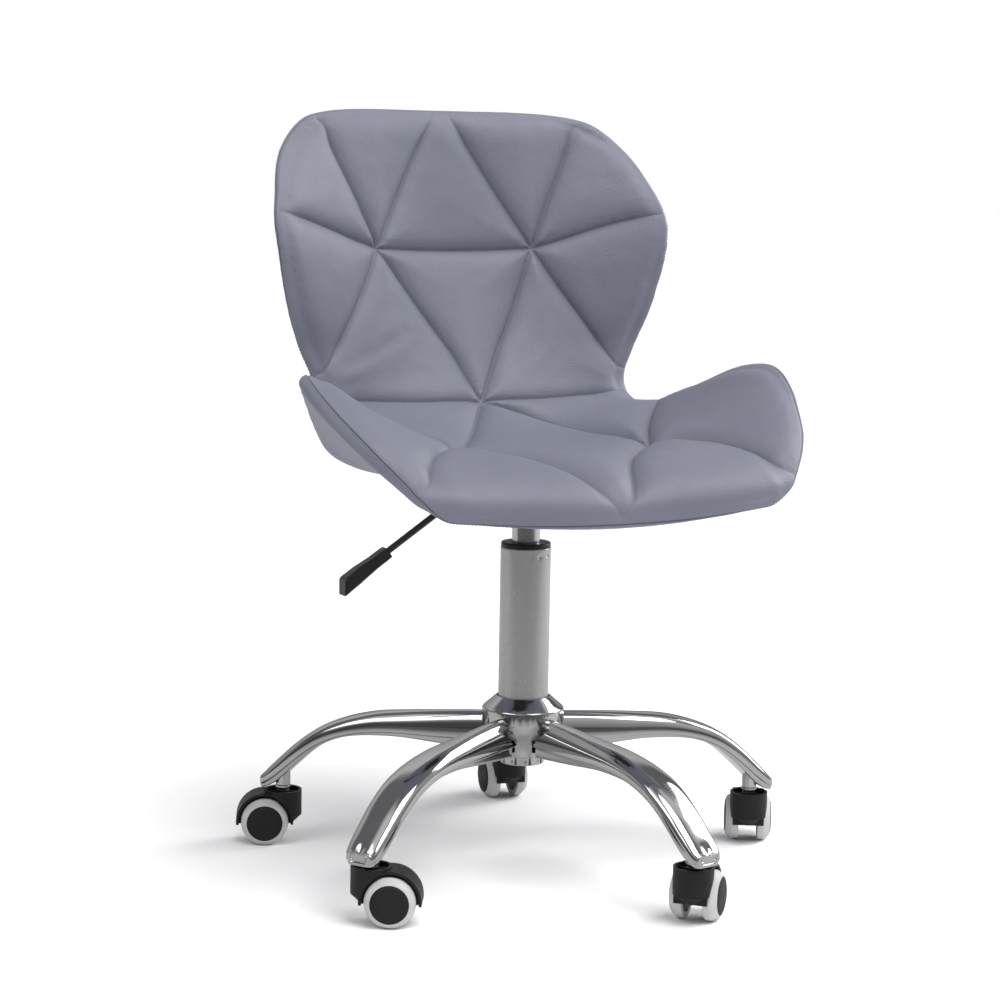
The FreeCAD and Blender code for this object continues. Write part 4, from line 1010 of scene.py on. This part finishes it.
def make_floor():
    """Pale floor that looks darker toward the front in mirrored light alone."""
    size = FLOOR_SIZE
    mesh = mesh_of("floor", [(-size, -size, 0), (size, -size, 0), (size, size, 0), (-size, size, 0)],
                   [(0, 1, 2, 3)], smooth=False)
    floor = bpy.data.objects.new("floor", mesh)
    bpy.context.scene.collection.objects.link(floor)
    paint = Paint("pale_floor", **{"Base Color": grey(FLOOR_TONE), "Roughness": 0.9,
                                   "Specular IOR Level": 0.1})
    mesh.materials.append(paint.material)
    nodes = paint.tree.nodes
    place = nodes.new("ShaderNodeNewGeometry")
    forward = nodes.new("ShaderNodeVectorMath")
    forward.operation = "DOT_PRODUCT"
    forward.inputs[1].default_value = (math.sin(AZIMUTH), -math.cos(AZIMUTH), 0)
    paint.link(place.outputs["Position"], forward.inputs[0])
    shade = sockets(nodes.new("ShaderNodeMapRange"), From_Min=MIRRORED_NEAR[0], From_Max=MIRRORED_FAR[0],
                    To_Min=MIRRORED_NEAR[1], To_Max=MIRRORED_FAR[1])
    paint.link(forward.outputs["Value"], shade.inputs["Value"])
    path = nodes.new("ShaderNodeLightPath")
    seen = nodes.new("ShaderNodeMix")
    seen.data_type = "RGBA"
    seen.inputs["A"].default_value = grey(FLOOR_TONE)
    paint.link(path.outputs["Is Glossy Ray"], seen.inputs["Factor"])
    paint.link(shade.outputs["Result"], seen.inputs["B"])
    paint.link(seen.outputs["Result"], paint.shader.inputs["Base Color"])


def make_world():
    """White to the camera; to everything else a soft studio, dim low down with darker bands."""
    world = bpy.data.worlds.new("studio")
    bpy.context.scene.world = world
    world.use_nodes = True
    nodes, link = world.node_tree.nodes, world.node_tree.links.new
    place = nodes.new("ShaderNodeTexCoord")
    parts = nodes.new("ShaderNodeSeparateXYZ")
    link(place.outputs["Generated"], parts.inputs["Vector"])
    rise = nodes.new("ShaderNodeValToRGB")
    elements = rise.color_ramp.elements
    for spot, _ in STUDIO_TONES[1:-1]:
        elements.new(spot)
    for element, (spot, value) in zip(elements, STUDIO_TONES):
        element.position = spot
        element.color = (value, value, value * 1.01, 1)
    link(parts.outputs["Z"], rise.inputs["Fac"])
    bands = sockets(nodes.new("ShaderNodeTexNoise"), Scale=1.6, Detail=1.0, Roughness=0.4)
    link(place.outputs["Generated"], bands.inputs["Vector"])
    contrast = nodes.new("ShaderNodeValToRGB")
    low, high = contrast.color_ramp.elements
    low.position, high.position = BAND_START, BAND_END
    low.color = BAND_TONE
    link(bands.outputs["Fac"], contrast.inputs["Fac"])
    room = nodes.new("ShaderNodeMix")
    room.data_type, room.blend_type = "RGBA", "MULTIPLY"
    room.inputs["Factor"].default_value = 1.0
    link(rise.outputs["Color"], room.inputs["A"])
    link(contrast.outputs["Color"], room.inputs["B"])
    path = nodes.new("ShaderNodeLightPath")
    seen = nodes.new("ShaderNodeMix")
    seen.data_type = "RGBA"
    seen.inputs["B"].default_value = (1, 1, 1, 1)
    link(path.outputs["Is Camera Ray"], seen.inputs["Factor"])
    link(room.outputs["Result"], seen.inputs["A"])
    link(seen.outputs["Result"], nodes["Background"].inputs["Color"])


make_camera()
make_floor()
make_world()
sun_light("high_sun", SUN_TOWARD, SUN_STRENGTH, SUN_SPREAD)
for soft_box in SOFT_BOXES:
    area_light(*soft_box)
bpy.context.scene.view_settings.view_transform = "Standard"

RIM, FRONT_BORDER = quilted_front()
edge_strip(RIM, FRONT_BORDER)
stitches(RIM, FRONT_BORDER)
rear_panel()
inner_board()
make_legs()
column()
soften(CASTOR_NODES, CASTOR_EDGE)
soften(METAL_NODES, METAL_EDGE)
